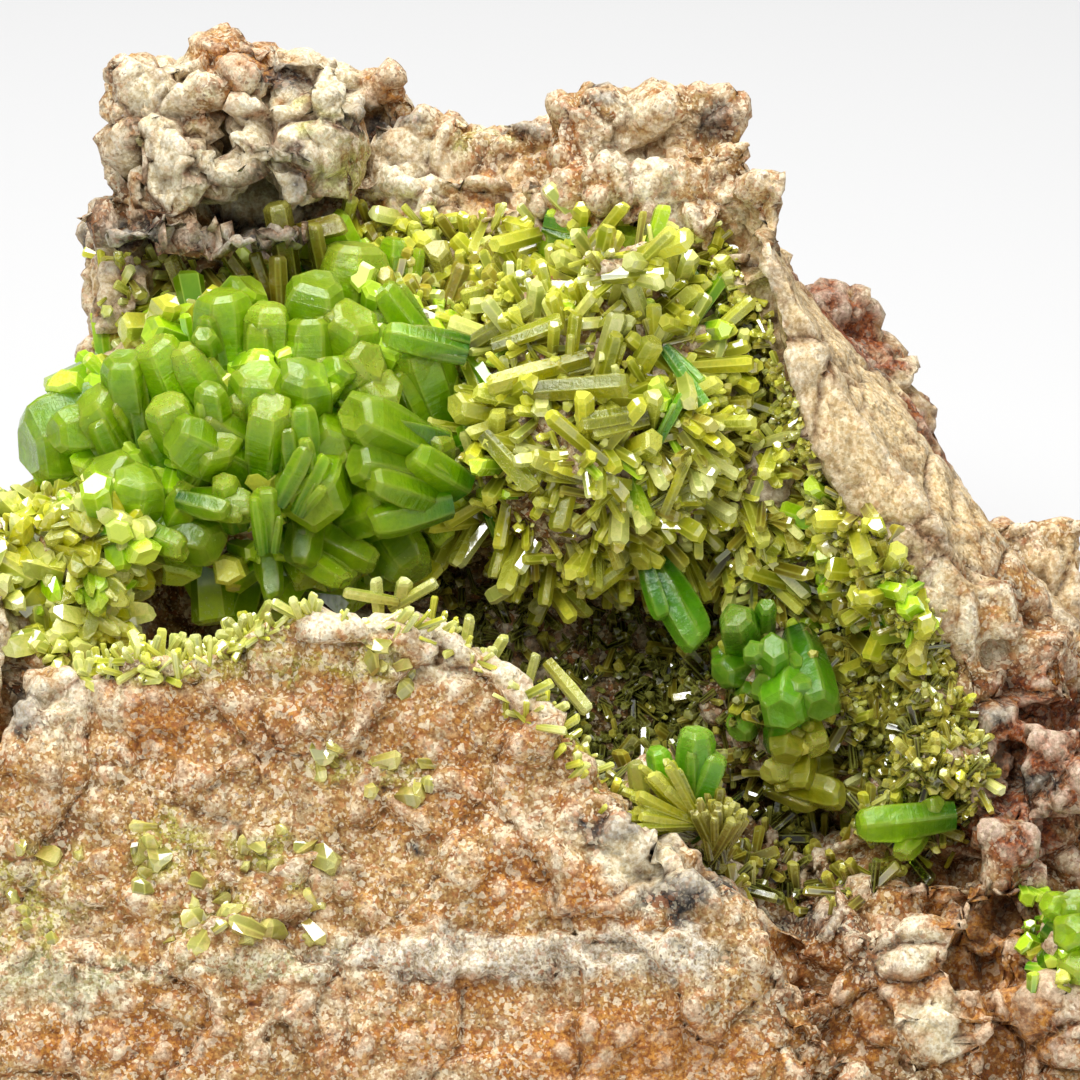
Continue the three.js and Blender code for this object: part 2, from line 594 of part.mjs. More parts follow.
        front: 13.4, back: 5, chamfer: 0,
      },
    ],
    crystals: [
      [48.6, 61.2, 12.4, 70, 25, 4, 1.8], [53.6, 64, 12.6, 60, 25, 4, 1.8], [59.8, 71.6, 12.8, 325, 16, 5, 2],
      [61.6, 76.4, 12.8, 352, 20, 4, 2],
    ],
  },
};

/** Makes a group's solid: its beds and crystals in one, kept inside its room. */
function grown({ room: place, dome: mass, mounds = [], beds = [], lumps = [], crystals }, index) {
  const rise = mass ? domeHeight(mass) : () => 0;
  const stubs = crystals.map(([u, v, out, ...rest]) => crystal([u, v, out + rise(u, v), ...rest]));
  const carriers = [...mounds.map(mound), ...beds.map(slab), ...stones(lumps, 2000 + 50 * index)];
  const whole = join([...carriers, ...stubs]);
  return mainBody(spend("intersect", whole, room(place)));
}

// The skin of small crystals on the right wall of the hollow.
const CRUST = {
  patch: [
    [73, 29], [80, 37], [86, 46], [91, 56], [94.6, 64], [97, 75], [96, 79], [89.6, 79], [89.6, 60],
    [82, 57], [80, 50], [78, 42], [74, 34], [71, 31],
  ],
  skin: [0.5, 2.2], // inset of its back and of its face from the hollow's wall
  stubs: [
    [77, 35.6], [79.6, 37.6], [81.6, 42], [83, 46.4], [84.6, 50.6], [86, 54.6], [88, 48.6], [88.4, 57.6],
    [91.6, 61.6], [92.4, 66.4], [93.4, 71], [93, 75.6], [86.4, 47.4], [90, 54],
  ],
  proud: 3, length: 4.4, width: 3,
};

/** How far out the hollow's wall lies at a point of the sheet, by the rim point that is nearest in line. */
function wallAt(u, v) {
  const { centre: [cu, cv], rim, top, bottom } = HOLLOW;
  const [du, dv] = [u - cu, v - cv];
  const away = Math.hypot(du, dv);
  const inLine = ([ru, rv]) => ((ru - cu) * du + (rv - cv) * dv) / (away * Math.hypot(ru - cu, rv - cv));
  const [ru, rv] = rim.reduce((best, point) => (inLine(point) > inLine(best) ? point : best));
  const share = Math.min(1, away / Math.hypot(ru - cu, rv - cv));
  return bottom + (top - bottom) * Math.max(0, (share - 0.4) / 0.6) ** (1 / 0.75);
}

/** The crust: a skin over the wall with stubs that point to the middle of the hollow. */
function makeCrust() {
  const [back, face] = CRUST.skin;
  const shell = spend("subtract", bowl({ ...HOLLOW, inset: back }), bowl({ ...HOLLOW, inset: face }));
  const patch = slab({ outline: CRUST.patch, front: 6, back: -24, chamfer: 1, trim: 1, taper: 1 });
  const [cu, cv] = HOLLOW.centre;
  const stubs = CRUST.stubs.map(([u, v], i) => {
    const bearing = THREE.MathUtils.radToDeg(Math.atan2(v - cv, cu - u)) + 60 * (chance(i + 800) - 0.5);
    const rise = 30 + 30 * chance(i + 900);
    return crystal([u, v, wallAt(u, v) + CRUST.proud, bearing, rise, CRUST.length, CRUST.width]);
  });
  const whole = join([spend("intersect", shell, patch), ...stubs]);
  const inside = spend("intersect", whole, bowl({ ...HOLLOW, inset: back }));
  const others = Object.values(GROUPS).map(({ room: place }) => room(place, GAP));
  return mainBody(others.reduce((left, cut) => spend("subtract", left, cut), inside));
}

const specimen = new THREE.Group();
const rooms = Object.values(GROUPS).map(({ room: place }) => place);
specimen.add(meshOf("matrix", makeRock(rooms), { color: 0xc49a6c, roughness: 0.9, metalness: 0 }));
Object.entries(GROUPS).forEach(([name, group], index) => {
  specimen.add(meshOf(name, grown(group, index), { color: group.look, roughness: 0.25, metalness: 0 }));
});
specimen.add(meshOf("vug_crust", makeCrust(), { color: 0x85803a, roughness: 0.4, metalness: 0 }));

export default specimen;
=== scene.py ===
"""The looks of a pyromorphite specimen: hexagonal green crystals in the open hollow of a broken rock.

Everything is in metres in the part's frame, +Z up. The display face leans back. It is set out on a square
sheet in its plane, in millimetres: u runs right and v runs down from the sheet's top left corner, and out
is the height towards the eye.
"""

import logging
import math
from dataclasses import dataclass, field
from enum import Enum

import bmesh
import bpy
import numpy as np
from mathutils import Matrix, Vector


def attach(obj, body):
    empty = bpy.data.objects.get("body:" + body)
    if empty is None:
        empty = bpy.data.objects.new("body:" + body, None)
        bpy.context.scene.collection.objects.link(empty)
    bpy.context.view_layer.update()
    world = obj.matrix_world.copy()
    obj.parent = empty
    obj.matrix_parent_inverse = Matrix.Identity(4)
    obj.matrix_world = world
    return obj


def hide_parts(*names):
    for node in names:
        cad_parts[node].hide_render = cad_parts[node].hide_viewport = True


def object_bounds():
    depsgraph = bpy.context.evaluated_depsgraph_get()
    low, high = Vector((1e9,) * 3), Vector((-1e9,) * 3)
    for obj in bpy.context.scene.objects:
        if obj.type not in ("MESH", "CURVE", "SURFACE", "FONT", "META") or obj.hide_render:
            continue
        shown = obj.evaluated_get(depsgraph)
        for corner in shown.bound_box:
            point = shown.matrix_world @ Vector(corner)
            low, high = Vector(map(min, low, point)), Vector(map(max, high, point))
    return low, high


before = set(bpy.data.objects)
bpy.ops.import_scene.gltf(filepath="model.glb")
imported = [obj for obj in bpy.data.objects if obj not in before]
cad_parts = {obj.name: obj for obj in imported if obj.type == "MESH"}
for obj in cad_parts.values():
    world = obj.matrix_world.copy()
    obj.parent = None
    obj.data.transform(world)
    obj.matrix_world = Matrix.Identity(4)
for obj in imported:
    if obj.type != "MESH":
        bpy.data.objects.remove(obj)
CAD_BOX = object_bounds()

log = logging.getLogger("pyromorphite")
MM = 0.001


# ------------------------------------------------------------------ colour and chance
def ink(red: float, green: float, blue: float) -> tuple[float, float, float]:
    """A colour as seen on a screen, from 0 to 255, as linear light.

    Args:
        red, green, blue: the screen values.
    Returns:
        The three linear values from 0 to 1.
    """
    screen = np.array([red, green, blue]) / 255.0
    linear = np.where(screen <= 0.04045, screen / 12.92, ((screen + 0.055) / 1.055) ** 2.4)
    return tuple(float(x) for x in linear)


SCRAMBLE = (374761393, 668265263, 2147483647, 974634777)  # odd factors for a cell's x, y, z and the seed


def hashed(cells: np.ndarray, seed: int) -> np.ndarray:
    """A repeatable fraction from 0 to 1 for each cell of a lattice: x, y, z and the seed, each times its own
    odd factor, are added in 32 bits, and the sum is shifted over itself and multiplied again.

    Args:
        cells: (N, 3) whole numbers.
        seed: another seed gives other fractions.
    Returns:
        (N,) fractions.
    """
    low = np.uint64(0xFFFFFFFF)  # keeps the lowest 32 bits
    x, y, z, s = (np.uint64(factor) for factor in SCRAMBLE)
    i = cells.astype(np.int64).astype(np.uint64)
    h = (i[:, 0] * x + i[:, 1] * y + i[:, 2] * z + np.uint64(seed) * s) & low
    for shift, factor in ((13, 1274126177), (16, 2246822519)):
        h = ((h ^ (h >> np.uint64(shift))) * np.uint64(factor)) & low
    return (h ^ (h >> np.uint64(15))).astype(np.float64) / 2.0**32


def smooth_noise(points: np.ndarray, size: float, seed: int) -> np.ndarray:
    """Smooth noise from -1 to 1: random values on a lattice, blended by 3t^2 - 2t^3 between its points.

    Args:
        points: (N, 3) places.
        size: the lattice's spacing in the same unit.
        seed: another seed gives another pattern.
    Returns:
        (N,) values.
    """
    p = points / size
    cell = np.floor(p).astype(np.int64)
    t = p - cell
    t = t * t * (3.0 - 2.0 * t)
    total = np.zeros(len(p))
    for corner in np.ndindex(2, 2, 2):
        c = np.array(corner)
        weight = np.prod(np.where(c == 1, t, 1.0 - t), axis=1)
        total += weight * hashed(cell + c, seed)
    return 2.0 * total - 1.0


def fractal(points: np.ndarray, size: float, octaves: int, seed: int) -> np.ndarray:
    """Octaves of smooth noise, each half as wide and half as strong as the one before.

    Args:
        points: (N, 3) places.
        size: the widest octave's lattice.
        octaves: how many.
        seed: another seed gives another pattern.
    Returns:
        (N,) values of about -1 to 1.
    """
    return sum(0.5**k * smooth_noise(points, size * 0.5**k, seed + 17 * k) for k in range(octaves)) / 1.6


def shattered(points: np.ndarray, size: float, seed: int) -> tuple[np.ndarray, np.ndarray, np.ndarray]:
    """Cells around scattered seeds, as rock breaks into.

    Args:
        points: (N, 3) places.
        size: the cells' spacing.
        seed: another seed gives other cells.
    Returns:
        (N,) distance to the nearest seed, (N,) how much further the second one is, both in cells, and
        (N,) a random fraction for each cell.
    """
    p = points / size
    cell = np.floor(p).astype(np.int64)
    first = np.full(len(p), 9.0)
    second = np.full(len(p), 9.0)
    name = np.zeros(len(p))
    for step in np.ndindex(3, 3, 3):
        c = cell + np.array(step) - 1
        centre = c + np.stack([hashed(c, seed + k) for k in (1, 2, 3)], axis=1)
        away = np.linalg.norm(p - centre, axis=1)
        nearer = away < first
        second = np.where(nearer, first, np.minimum(second, away))
        name = np.where(nearer, hashed(c, seed + 4), name)
        first = np.where(nearer, away, first)
    return first, second - first, name


def unit(vectors: np.ndarray) -> np.ndarray:
    """The vectors at length 1.

    Args:
        vectors: (N, 3).
    Returns:
        (N, 3).
    """
    return vectors / np.maximum(np.linalg.norm(vectors, axis=-1, keepdims=True), 1e-12)


def fade(values: np.ndarray, start: float, over: float) -> np.ndarray:
    """A straight rise from 0 to 1: (values - start) / over, kept between them.

    Args:
        values: (N,) numbers.
        start: where it is 0.
        over: how much further it is 1; under 0 it rises the other way.
    Returns:
        (N,) fractions.
    """
    return np.clip((values - start) / over, 0.0, 1.0)


# ------------------------------------------------------------------ the sheet
@dataclass(frozen=True)
class Sheet:
    """The square sheet in the plane of the display face, and the eye that looks straight at it.

    Attributes:
        side: the sheet's side in mm.
        sight: the eye's distance in mm.
        look_down: degrees that the eye looks down from the level.
        middle: the sheet's middle in the part's frame, in mm.
    """

    side: float = 108.0
    sight: float = 600.0
    look_down: float = 25.0
    middle: tuple[float, float, float] = (-1.71, -5.08, 49.0)

    def axes(self) -> np.ndarray:
        """The face's axes as rows: right, up the sheet, towards the eye.

        Returns:
            (3, 3) unit vectors in the part's frame.
        """
        tip = math.radians(90.0 - self.look_down)
        return np.array([[1, 0, 0], [0, math.cos(tip), math.sin(tip)], [0, -math.sin(tip), math.cos(tip)]])

    def place(self, spots: np.ndarray) -> np.ndarray:
        """The places of spots on the sheet: what is deeper spreads a little, as the eye sees it. A spot lies
        out mm along the sheet's normal, and its way from the sheet's middle grows by 1 - out / sight.

        Args:
            spots: (N, 3) u, v and out in mm.
        Returns:
            (N, 3) in metres.
        """
        spots = np.atleast_2d(np.asarray(spots, float))
        spread = 1.0 - spots[:, 2] / self.sight
        right = (spots[:, 0] - self.side / 2) * spread
        up = (self.side / 2 - spots[:, 1]) * spread
        flat = np.stack([right, up, spots[:, 2]], axis=1)
        return (np.array(self.middle) + flat @ self.axes()) * MM

    def read(self, points: np.ndarray) -> np.ndarray:
        """The spots on the sheet where the eye sees points of the part: the reverse of place.

        Args:
            points: (N, 3) in metres.
        Returns:
            (N, 3) u, v and out in mm.
        """
        flat = (points / MM - np.array(self.middle)) @ self.axes().T
        spread = 1.0 - flat[:, 2] / self.sight
        u, v = flat[:, 0] / spread + self.side / 2, self.side / 2 - flat[:, 1] / spread
        return np.stack([u, v, flat[:, 2]], axis=1)

    def heading(self, bearing: np.ndarray, rise: np.ndarray) -> np.ndarray:
        """Directions from degrees: bearing turns from right to up, rise tips towards the eye.

        Args:
            bearing: (N,) degrees.
            rise: (N,) degrees.
        Returns:
            (N, 3) unit vectors in the part's frame.
        """
        b, r = np.radians(bearing), np.radians(rise)
        return np.stack([np.cos(r) * np.cos(b), np.cos(r) * np.sin(b), np.sin(r)], axis=1) @ self.axes()


SHEET = Sheet()
PEAKS_PART = 37.0  # u at which the left peak ends and the ridge to the right one begins
SLAB_END = 78.0  # u at which the front slab and the right peak end and the rubble begins
CREST_FOOT = (74.0, 22.0)  # u and v where the crest's edge starts, below the right peak
CREST_SLANT = 0.52  # how far right the edge runs for each mm down


def past_crest(u: np.ndarray, v: np.ndarray) -> np.ndarray:
    """How far right of the crest's edge spots lie, in mm: u less the edge's own u at that v.

    Args:
        u, v: (N,) mm.
    Returns:
        (N,) mm.
    """
    return u - CREST_FOOT[0] - CREST_SLANT * (v - CREST_FOOT[1])


# ------------------------------------------------------------------ meshes from arrays
def mesh_object(name: str, vertices: np.ndarray, loops: np.ndarray, sizes: np.ndarray) -> bpy.types.Object:
    """An object from arrays.

    Args:
        name: the object's name.
        vertices: (N, 3) metres.
        loops: vertex numbers of all the faces in a row.
        sizes: how many of them each face has.
    Returns:
        The object, linked to the scene.
    """
    mesh = bpy.data.meshes.new(name)
    mesh.vertices.add(len(vertices))
    mesh.vertices.foreach_set("co", np.ascontiguousarray(vertices, dtype=np.float32).ravel())
    mesh.loops.add(len(loops))
    mesh.loops.foreach_set("vertex_index", loops.astype(np.int32))
    mesh.polygons.add(len(sizes))
    starts = np.concatenate([[0], np.cumsum(sizes)[:-1]]).astype(np.int32)
    mesh.polygons.foreach_set("loop_start", starts)
    mesh.update(calc_edges=True)
    mesh.validate()
    made = bpy.data.objects.new(name, mesh)
    bpy.context.scene.collection.objects.link(made)
    return made


def vertices_of(mesh: bpy.types.Mesh) -> np.ndarray:
    """The places of a mesh's vertices.

    Args:
        mesh: any mesh.
    Returns:
        (N, 3) metres.
    """
    flat = np.empty(len(mesh.vertices) * 3, np.float32)
    mesh.vertices.foreach_get("co", flat)
    return flat.reshape(-1, 3).astype(np.float64)


def normals_of(mesh: bpy.types.Mesh) -> np.ndarray:
    """The vertex normals of a mesh.

    Args:
        mesh: any mesh.
    Returns:
        (N, 3) unit vectors.
    """
    flat = np.empty(len(mesh.vertices) * 3, np.float32)
    mesh.vertex_normals.foreach_get("vector", flat)
    return flat.reshape(-1, 3).astype(np.float64)


def paint(mesh: bpy.types.Mesh, name: str, values: np.ndarray) -> None:
    """Stores a colour or a fraction on each vertex.

    Args:
        mesh: the mesh.
        name: the attribute's name.
        values: (N, 3) linear colours, or (N,) fractions.
    """
    if values.ndim == 1:
        mesh.attributes.new(name, "FLOAT", "POINT").data.foreach_set("value", values.astype(np.float32))
        return
    full = np.ones((len(values), 4), np.float32)
    full[:, :3] = values
    mesh.attributes.new(name, "FLOAT_COLOR", "POINT").data.foreach_set("color", full.ravel())


def evaluated(source: bpy.types.Object, name: str) -> bpy.types.Object:
    """An object whose mesh is another's with its modifiers applied; the other is removed.

    Args:
        source: the object with modifiers.
        name: the new object's name.
    Returns:
        The new object.
    """
    graph = bpy.context.evaluated_depsgraph_get()
    mesh = bpy.data.meshes.new_from_object(source.evaluated_get(graph))
    mesh.name = name
    made = bpy.data.objects.new(name, mesh)
    bpy.context.scene.collection.objects.link(made)
    bpy.data.objects.remove(source)
    return made


def sharpness(mesh: bpy.types.Mesh, rounds: int) -> np.ndarray:
    """How convex the surface is at each vertex: the vertex's height over its neighbours' mean, along the
    normal, as a part of the mean edge length, averaged over neighbours a few times.

    Args:
        mesh: the mesh.
        rounds: how often it is averaged.
    Returns:
        (N,) values: over 0 on edges, under 0 in creases.
    """
    points, normals = vertices_of(mesh), normals_of(mesh)
    pairs = np.empty(len(mesh.edges) * 2, np.int32)
    mesh.edges.foreach_get("vertices", pairs)
    a, b = pairs.reshape(-1, 2).T
    count = len(points)
    degree = np.maximum(np.bincount(a, minlength=count) + np.bincount(b, minlength=count), 1)

    def mean_of(at_a: np.ndarray, at_b: np.ndarray) -> np.ndarray:
        """The mean over each vertex's edges.

        Args:
            at_a, at_b: (M,) what each edge gives to its first and to its second end.
        Returns:
            (N,) means.
        """
        total = np.bincount(a, weights=at_a, minlength=count) + np.bincount(b, weights=at_b, minlength=count)
        return total / degree

    mean = np.stack([mean_of(points[b, k], points[a, k]) for k in range(3)], axis=1)
    span = np.linalg.norm(points[a] - points[b], axis=1)
    rise = np.einsum("nc,nc->n", points - mean, normals) / np.maximum(mean_of(span, span), 1e-9)
    for _ in range(rounds):
        rise = 0.5 * rise + 0.5 * mean_of(rise[b], rise[a])
    return rise


# ------------------------------------------------------------------ node graphs
class Graph:
    """A short way to write a material's nodes."""

    def __init__(self, name: str) -> None:
        """Starts an empty material.

        Args:
            name: the material's name.
        """
        self.material = bpy.data.materials.new(name)
        self.material.use_nodes = True
        self.tree = self.material.node_tree
        self.tree.nodes.clear()
        self.out = self.tree.nodes.new("ShaderNodeOutputMaterial")

    def node(self, kind: str, **values: object) -> bpy.types.Node:
        """Adds a node; values with the names of properties set them, others set or link its sockets.

        Args:
            kind: the node's type, without "ShaderNode".
            values: properties, and sockets by name with _ for a space.
        Returns:
            The node.
        """
        made = self.tree.nodes.new("ShaderNode" + kind)
        for key, value in values.items():
            if hasattr(made, key):
                setattr(made, key, value)
        for key, value in values.items():
            if not hasattr(made, key):
                self.plug(made.inputs[key.replace("_", " ")], value)
        return made

    def plug(self, socket: bpy.types.NodeSocket, value: object) -> None:
        """Links a socket to a value's output, or sets it.

        Args:
            socket: the input.
            value: an output socket, a number or a colour.
        """
        if isinstance(value, bpy.types.NodeSocket):
            self.tree.links.new(value, socket)
        elif isinstance(value, (tuple, list)) and len(value) == 3 and socket.type == "RGBA":
            socket.default_value = (*value, 1.0)
        else:
            socket.default_value = value

    def place(self) -> bpy.types.NodeSocket:
        """Object coordinates in millimetres."""
        source = self.node("TexCoord").outputs["Object"]
        return self.node("VectorMath", operation="SCALE", Vector=source, Scale=1000.0).outputs["Vector"]

    def painted(self, name: str, output: str = "Fac") -> bpy.types.NodeSocket:
        """A painted attribute: its Fac, Color or Vector output."""
        return self.node("Attribute", attribute_name=name).outputs[output]

    def noise(self, vector: object, scale: float, detail: float, roughness: float) -> object:
        """Noise from 0 to 1."""
        made = self.node("TexNoise", Vector=vector, Scale=scale, Detail=detail, Roughness=roughness)
        return made.outputs["Fac"]

    def cells(self, vector: object, scale: float) -> bpy.types.NodeSocket:
        """Three random numbers for each cell that space is divided into, as a colour."""
        return self.node("TexVoronoi", Vector=vector, Scale=scale).outputs["Color"]

    def math(self, operation: str, first: object, second: object) -> object:
        """A calculation with two numbers.

        Args:
            operation: the node's operation.
            first, second: the numbers.
        Returns:
            The result.
        """
        made = self.node("Math", operation=operation)
        self.plug(made.inputs[0], first)
        self.plug(made.inputs[1], second)
        return made.outputs[0]

    def vector(self, operation: str, *values: object) -> object:
        """A calculation with vectors.

        Args:
            operation: the node's operation.
            values: the vectors, in the order of its sockets.
        Returns:
            The result.
        """
        made = self.node("VectorMath", operation=operation)
        for socket, value in zip(made.inputs, values):
            self.plug(socket, value)
        return made.outputs[0]

    def step(self, value: object, low: float, high: float, start: float = 0.0, end: float = 1.0) -> object:
        """A smooth step of a value between two limits.

        Args:
            value: the value.
            low, high: the limits.
            start, end: the result at each limit and beyond it.
        Returns:
            The result.
        """
        made = self.node("MapRange", interpolation_type="SMOOTHSTEP", Value=value)
        made.inputs["From Min"].default_value = low
        made.inputs["From Max"].default_value = high
        made.inputs["To Min"].default_value = start
        made.inputs["To Max"].default_value = end
        return made.outputs["Result"]

    def mix(self, share: object, first: object, second: object, blend: str = "MIX") -> object:
        """A mix of two colours.

        Args:
            share: how much of the second one.
            first, second: the colours.
            blend: how they are mixed.
        Returns:
            The colour.
        """
        made = self.node("Mix", data_type="RGBA", blend_type=blend)
        self.plug(made.inputs[0], share)
        self.plug(made.inputs[6], first)
        self.plug(made.inputs[7], second)
        return made.outputs[2]

    def bump(self, height: object, depth: float) -> object:
        """A bumped normal from a height; depth is in metres for a height of 1."""
        return self.node("Bump", Height=height, Distance=depth).outputs["Normal"]

    def finish(self, **sockets: object) -> bpy.types.Material:
        """Adds the surface shader with its sockets, and gives the material.

        Args:
            sockets: the shader's inputs by name with _ for a space.
        Returns:
            The material.
        """
        shader = self.node("BsdfPrincipled", **sockets)
        self.tree.links.new(shader.outputs[0], self.out.inputs["Surface"])
        return self.material


# ------------------------------------------------------------------ the rock
class Ore(Enum):
    """What a patch of the rock is made of: its darker and its lighter tone as seen on a screen, and how much
    of what lies under it it hides. The order is that in which they cover one another."""

    BEIGE = ((208, 174, 116), (246, 224, 178), 1.0)
    RED = ((88, 34, 8), (168, 88, 32), 1.0)
    RUST = ((146, 80, 20), (212, 146, 58), 1.0)
    WHITE = ((216, 194, 146), (255, 246, 214), 1.0)
    STAIN = ((150, 144, 34), (214, 212, 106), 0.75)
    DARK = ((20, 18, 17), (76, 68, 60), 1.0)


@dataclass(frozen=True)
class Patch:
    """An oval patch of one ore on the sheet.

    Attributes:
        ore: what it is made of.
        centre: u and v in mm.
        radii: half sizes along u and v in mm.
        share: how much of the ore it holds, up to 1.
        turn: degrees that the oval is turned, from right to down.
        reach: the lowest and highest out that it covers.
    """

    ore: Ore
    centre: tuple[float, float]
    radii: tuple[float, float]
    share: float = 1.0
    turn: float = 0.0
    reach: tuple[float, float] = (-60.0, 60.0)

    def weigh(self, spots: np.ndarray) -> np.ndarray:
        """How much of the ore each spot holds: its share times 1.5 less the way from the middle in radii,
        kept from 0 to 1, so that it fades out over the patch's edge.

        Args:
            spots: (N, 3) u, v and out.
        Returns:
            (N,) shares.
        """
        c, s = math.cos(math.radians(self.turn)), math.sin(math.radians(self.turn))
        du, dv = spots[:, 0] - self.centre[0], spots[:, 1] - self.centre[1]
        away = np.hypot((c * du + s * dv) / self.radii[0], (c * dv - s * du) / self.radii[1])
        inside = (spots[:, 2] >= self.reach[0]) & (spots[:, 2] <= self.reach[1])
        return self.share * np.clip(1.5 - away, 0.0, 1.0) * inside


class Glaze(Enum):
    """What lies under, between and over the ores: its darker and its lighter tone as seen on a screen."""

    GROUND = ((172, 118, 54), (220, 182, 116))
    OCHRE = ((162, 98, 30), (212, 152, 66))
    CREAM = ((204, 170, 118), (246, 228, 190))
    QUARTZ = ((176, 156, 118), (248, 240, 222))
    GREEN_QUARTZ = ((176, 172, 96), (224, 224, 164))
    LINING = ((62, 42, 12), (144, 118, 54))
    # a painted highlight on the rock's convex edges
    EDGE = ((226, 206, 170), (252, 244, 224))
    # dirt and painted shade in the rock's creases
    DIRT = ((70, 38, 14), (150, 100, 52))


# one letter for each ore, for the table of patches; T is the red, R the rust
W, R, D, S, B, T = Ore.WHITE, Ore.RUST, Ore.DARK, Ore.STAIN, Ore.BEIGE, Ore.RED
REAR = (-60.0, -14.0)  # the reach of patches that lie only behind the crest
PATCHES = [
    # the left peak: white barite with brown and black between
    Patch(W, (16, 14), (5, 9)), Patch(W, (26, 16), (9, 7)), Patch(W, (32, 10), (5, 7)),
    Patch(W, (24, 20), (9, 4), 0.8), Patch(R, (24, 6), (5, 2.4)), Patch(D, (29, 7.4), (3, 2)),
    Patch(R, (23.6, 12), (1.6, 4)), Patch(D, (14, 23.8), (7, 2.6)), Patch(D, (25, 24), (9, 2.6)),
    Patch(D, (9.6, 21.4), (1.8, 1.8)), Patch(S, (21, 11.6), (1.4, 3), 0.7),
    Patch(S, (31, 11), (3, 2.6), 0.6),
    Patch(S, (34.6, 17), (2.6, 3), 0.7), Patch(S, (14, 13), (1.6, 2), 0.5),
    Patch(D, (30, 18), (1.2, 3), 0.8),
    # the column under it and the recess
    Patch(R, (13, 28), (3, 6), 0.6), Patch(W, (12, 31), (2, 3), 0.5), Patch(D, (20, 29), (3, 4), 0.5),
    Patch(B, (13, 30), (5, 7)),
    # the back ridge
    Patch(R, (37, 9.4), (4, 1.8)), Patch(D, (38, 12), (4, 1.6)), Patch(W, (41.2, 16), (5, 5)),
    Patch(S, (40, 13.6), (2, 1.4), 0.7), Patch(R, (39, 20.4), (2.6, 1.2)),
    Patch(S, (48, 13.4), (3, 1.8), 0.8),
    Patch(D, (53, 13), (2.4, 0.8)), Patch(B, (50, 20), (7, 6), 0.7), Patch(R, (49, 19), (3, 3), 0.5),
    # the right peak
    Patch(W, (64, 15), (5, 6), 0.7), Patch(R, (58.4, 14), (3.4, 4), 0.6), Patch(D, (71.8, 11.8), (2.2, 2.2)),
    Patch(R, (66, 20.6), (2, 2.4), 0.8), Patch(W, (70, 20), (6, 5), 0.55), Patch(D, (60.4, 9.6), (1.6, 0.8)),
    # the right crest and the red rock behind it
    Patch(B, (84, 44), (14, 26), 1.0, -24), Patch(W, (72, 34), (3, 12), 0.45, -20),
    Patch(S, (76.4, 28), (1.6, 2.4), 0.5), Patch(T, (84, 33), (6, 8), 1.0, reach=REAR),
    Patch(D, (86, 38), (3, 2), 0.7, reach=REAR), Patch(T, (92, 44), (4, 5), 0.8, reach=REAR),
    Patch(B, (106, 58), (6, 6), 0.8, reach=REAR), Patch(W, (99, 62), (5, 5), 0.5),
    Patch(R, (103, 67), (5, 4), 0.35), Patch(W, (95, 60), (2, 8), 0.6, -24),
    # the lower right
    Patch(T, (103, 76), (8, 11)), Patch(T, (99, 92), (8, 6), 0.9), Patch(D, (99.5, 71.5), (1.6, 1.2)),
    Patch(D, (103, 78), (3, 1)), Patch(R, (94, 90), (2, 2)), Patch(W, (91, 95), (5, 3), 0.6),
    Patch(W, (93, 102.5), (3, 4), 0.9), Patch(T, (103, 84), (5, 4), 0.9), Patch(T, (103, 101), (6, 7), 0.9),
    Patch(T, (90, 98), (5, 3), 0.8), Patch(R, (98, 98), (10, 10)), Patch(R, (81, 93), (6, 5), 0.7),
    # the front slab
    Patch(R, (8, 69.4), (3.4, 1.4)), Patch(R, (16, 72.6), (5, 4), 0.9), Patch(R, (26, 74), (9, 6), 0.55),
    Patch(W, (6, 69), (5, 3), 0.7), Patch(W, (37, 61.6), (8, 2.6), 0.9),
    Patch(W, (52, 67), (5, 3.4), 0.9, 35),
    Patch(W, (44, 65), (5, 4), 0.6), Patch(R, (34, 70), (5, 4), 0.5), Patch(R, (46, 76), (9, 7), 0.5),
    Patch(S, (16, 67), (7, 1.4), 0.7), Patch(S, (24, 66), (7, 2.2), 0.7),
    Patch(S, (37, 66.4), (4, 2.6), 0.6),
    Patch(S, (17, 85.4), (4, 4), 0.8), Patch(S, (25.4, 84.8), (4, 2.4), 0.8),
    Patch(S, (32.4, 77.4), (3, 1.8), 0.6),
    Patch(S, (40, 78), (3, 2), 0.5), Patch(S, (20.6, 91), (3.4, 4), 0.8), Patch(S, (30, 88), (3, 3), 0.5),
    Patch(D, (42, 85.5), (1.2, 0.8), 0.8), Patch(D, (9.8, 77.6), (1.2, 1.6), 0.6),
    Patch(S, (4, 90), (6, 6), 0.5),
    Patch(W, (50, 95), (18, 2.0), 0.6), Patch(W, (5, 99), (8, 3), 0.5), Patch(W, (22, 82), (4, 3), 0.5),
    Patch(R, (57, 89), (9, 5), 0.8, 12), Patch(R, (46.4, 98.6), (3.4, 2.4)),
    Patch(R, (30, 99.4), (4, 2.4), 0.8),
    Patch(R, (64, 105), (15, 5)), Patch(R, (84, 102), (6, 6), 0.9), Patch(R, (85, 96), (4, 4), 0.7),
    Patch(D, (81, 92), (5, 2), 0.7), Patch(W, (64, 86), (4, 4), 0.95), Patch(D, (69, 90), (4, 5), 0.75),
    Patch(D, (61, 83), (3, 1.6), 0.8), Patch(R, (14, 104), (16, 3.6), 0.75),
    Patch(R, (40, 105), (14, 3), 0.7),
    Patch(T, (27, 100), (3, 1.6), 0.6), Patch(W, (71, 93), (3, 5), 0.6), Patch(R, (56, 80), (6, 5), 0.5),
    # the left shoulder
    Patch(W, (-1, 60), (5, 8), 0.7), Patch(D, (2.2, 71.4), (2, 2.6), 0.9), Patch(S, (7, 56), (8, 7), 0.9),
]


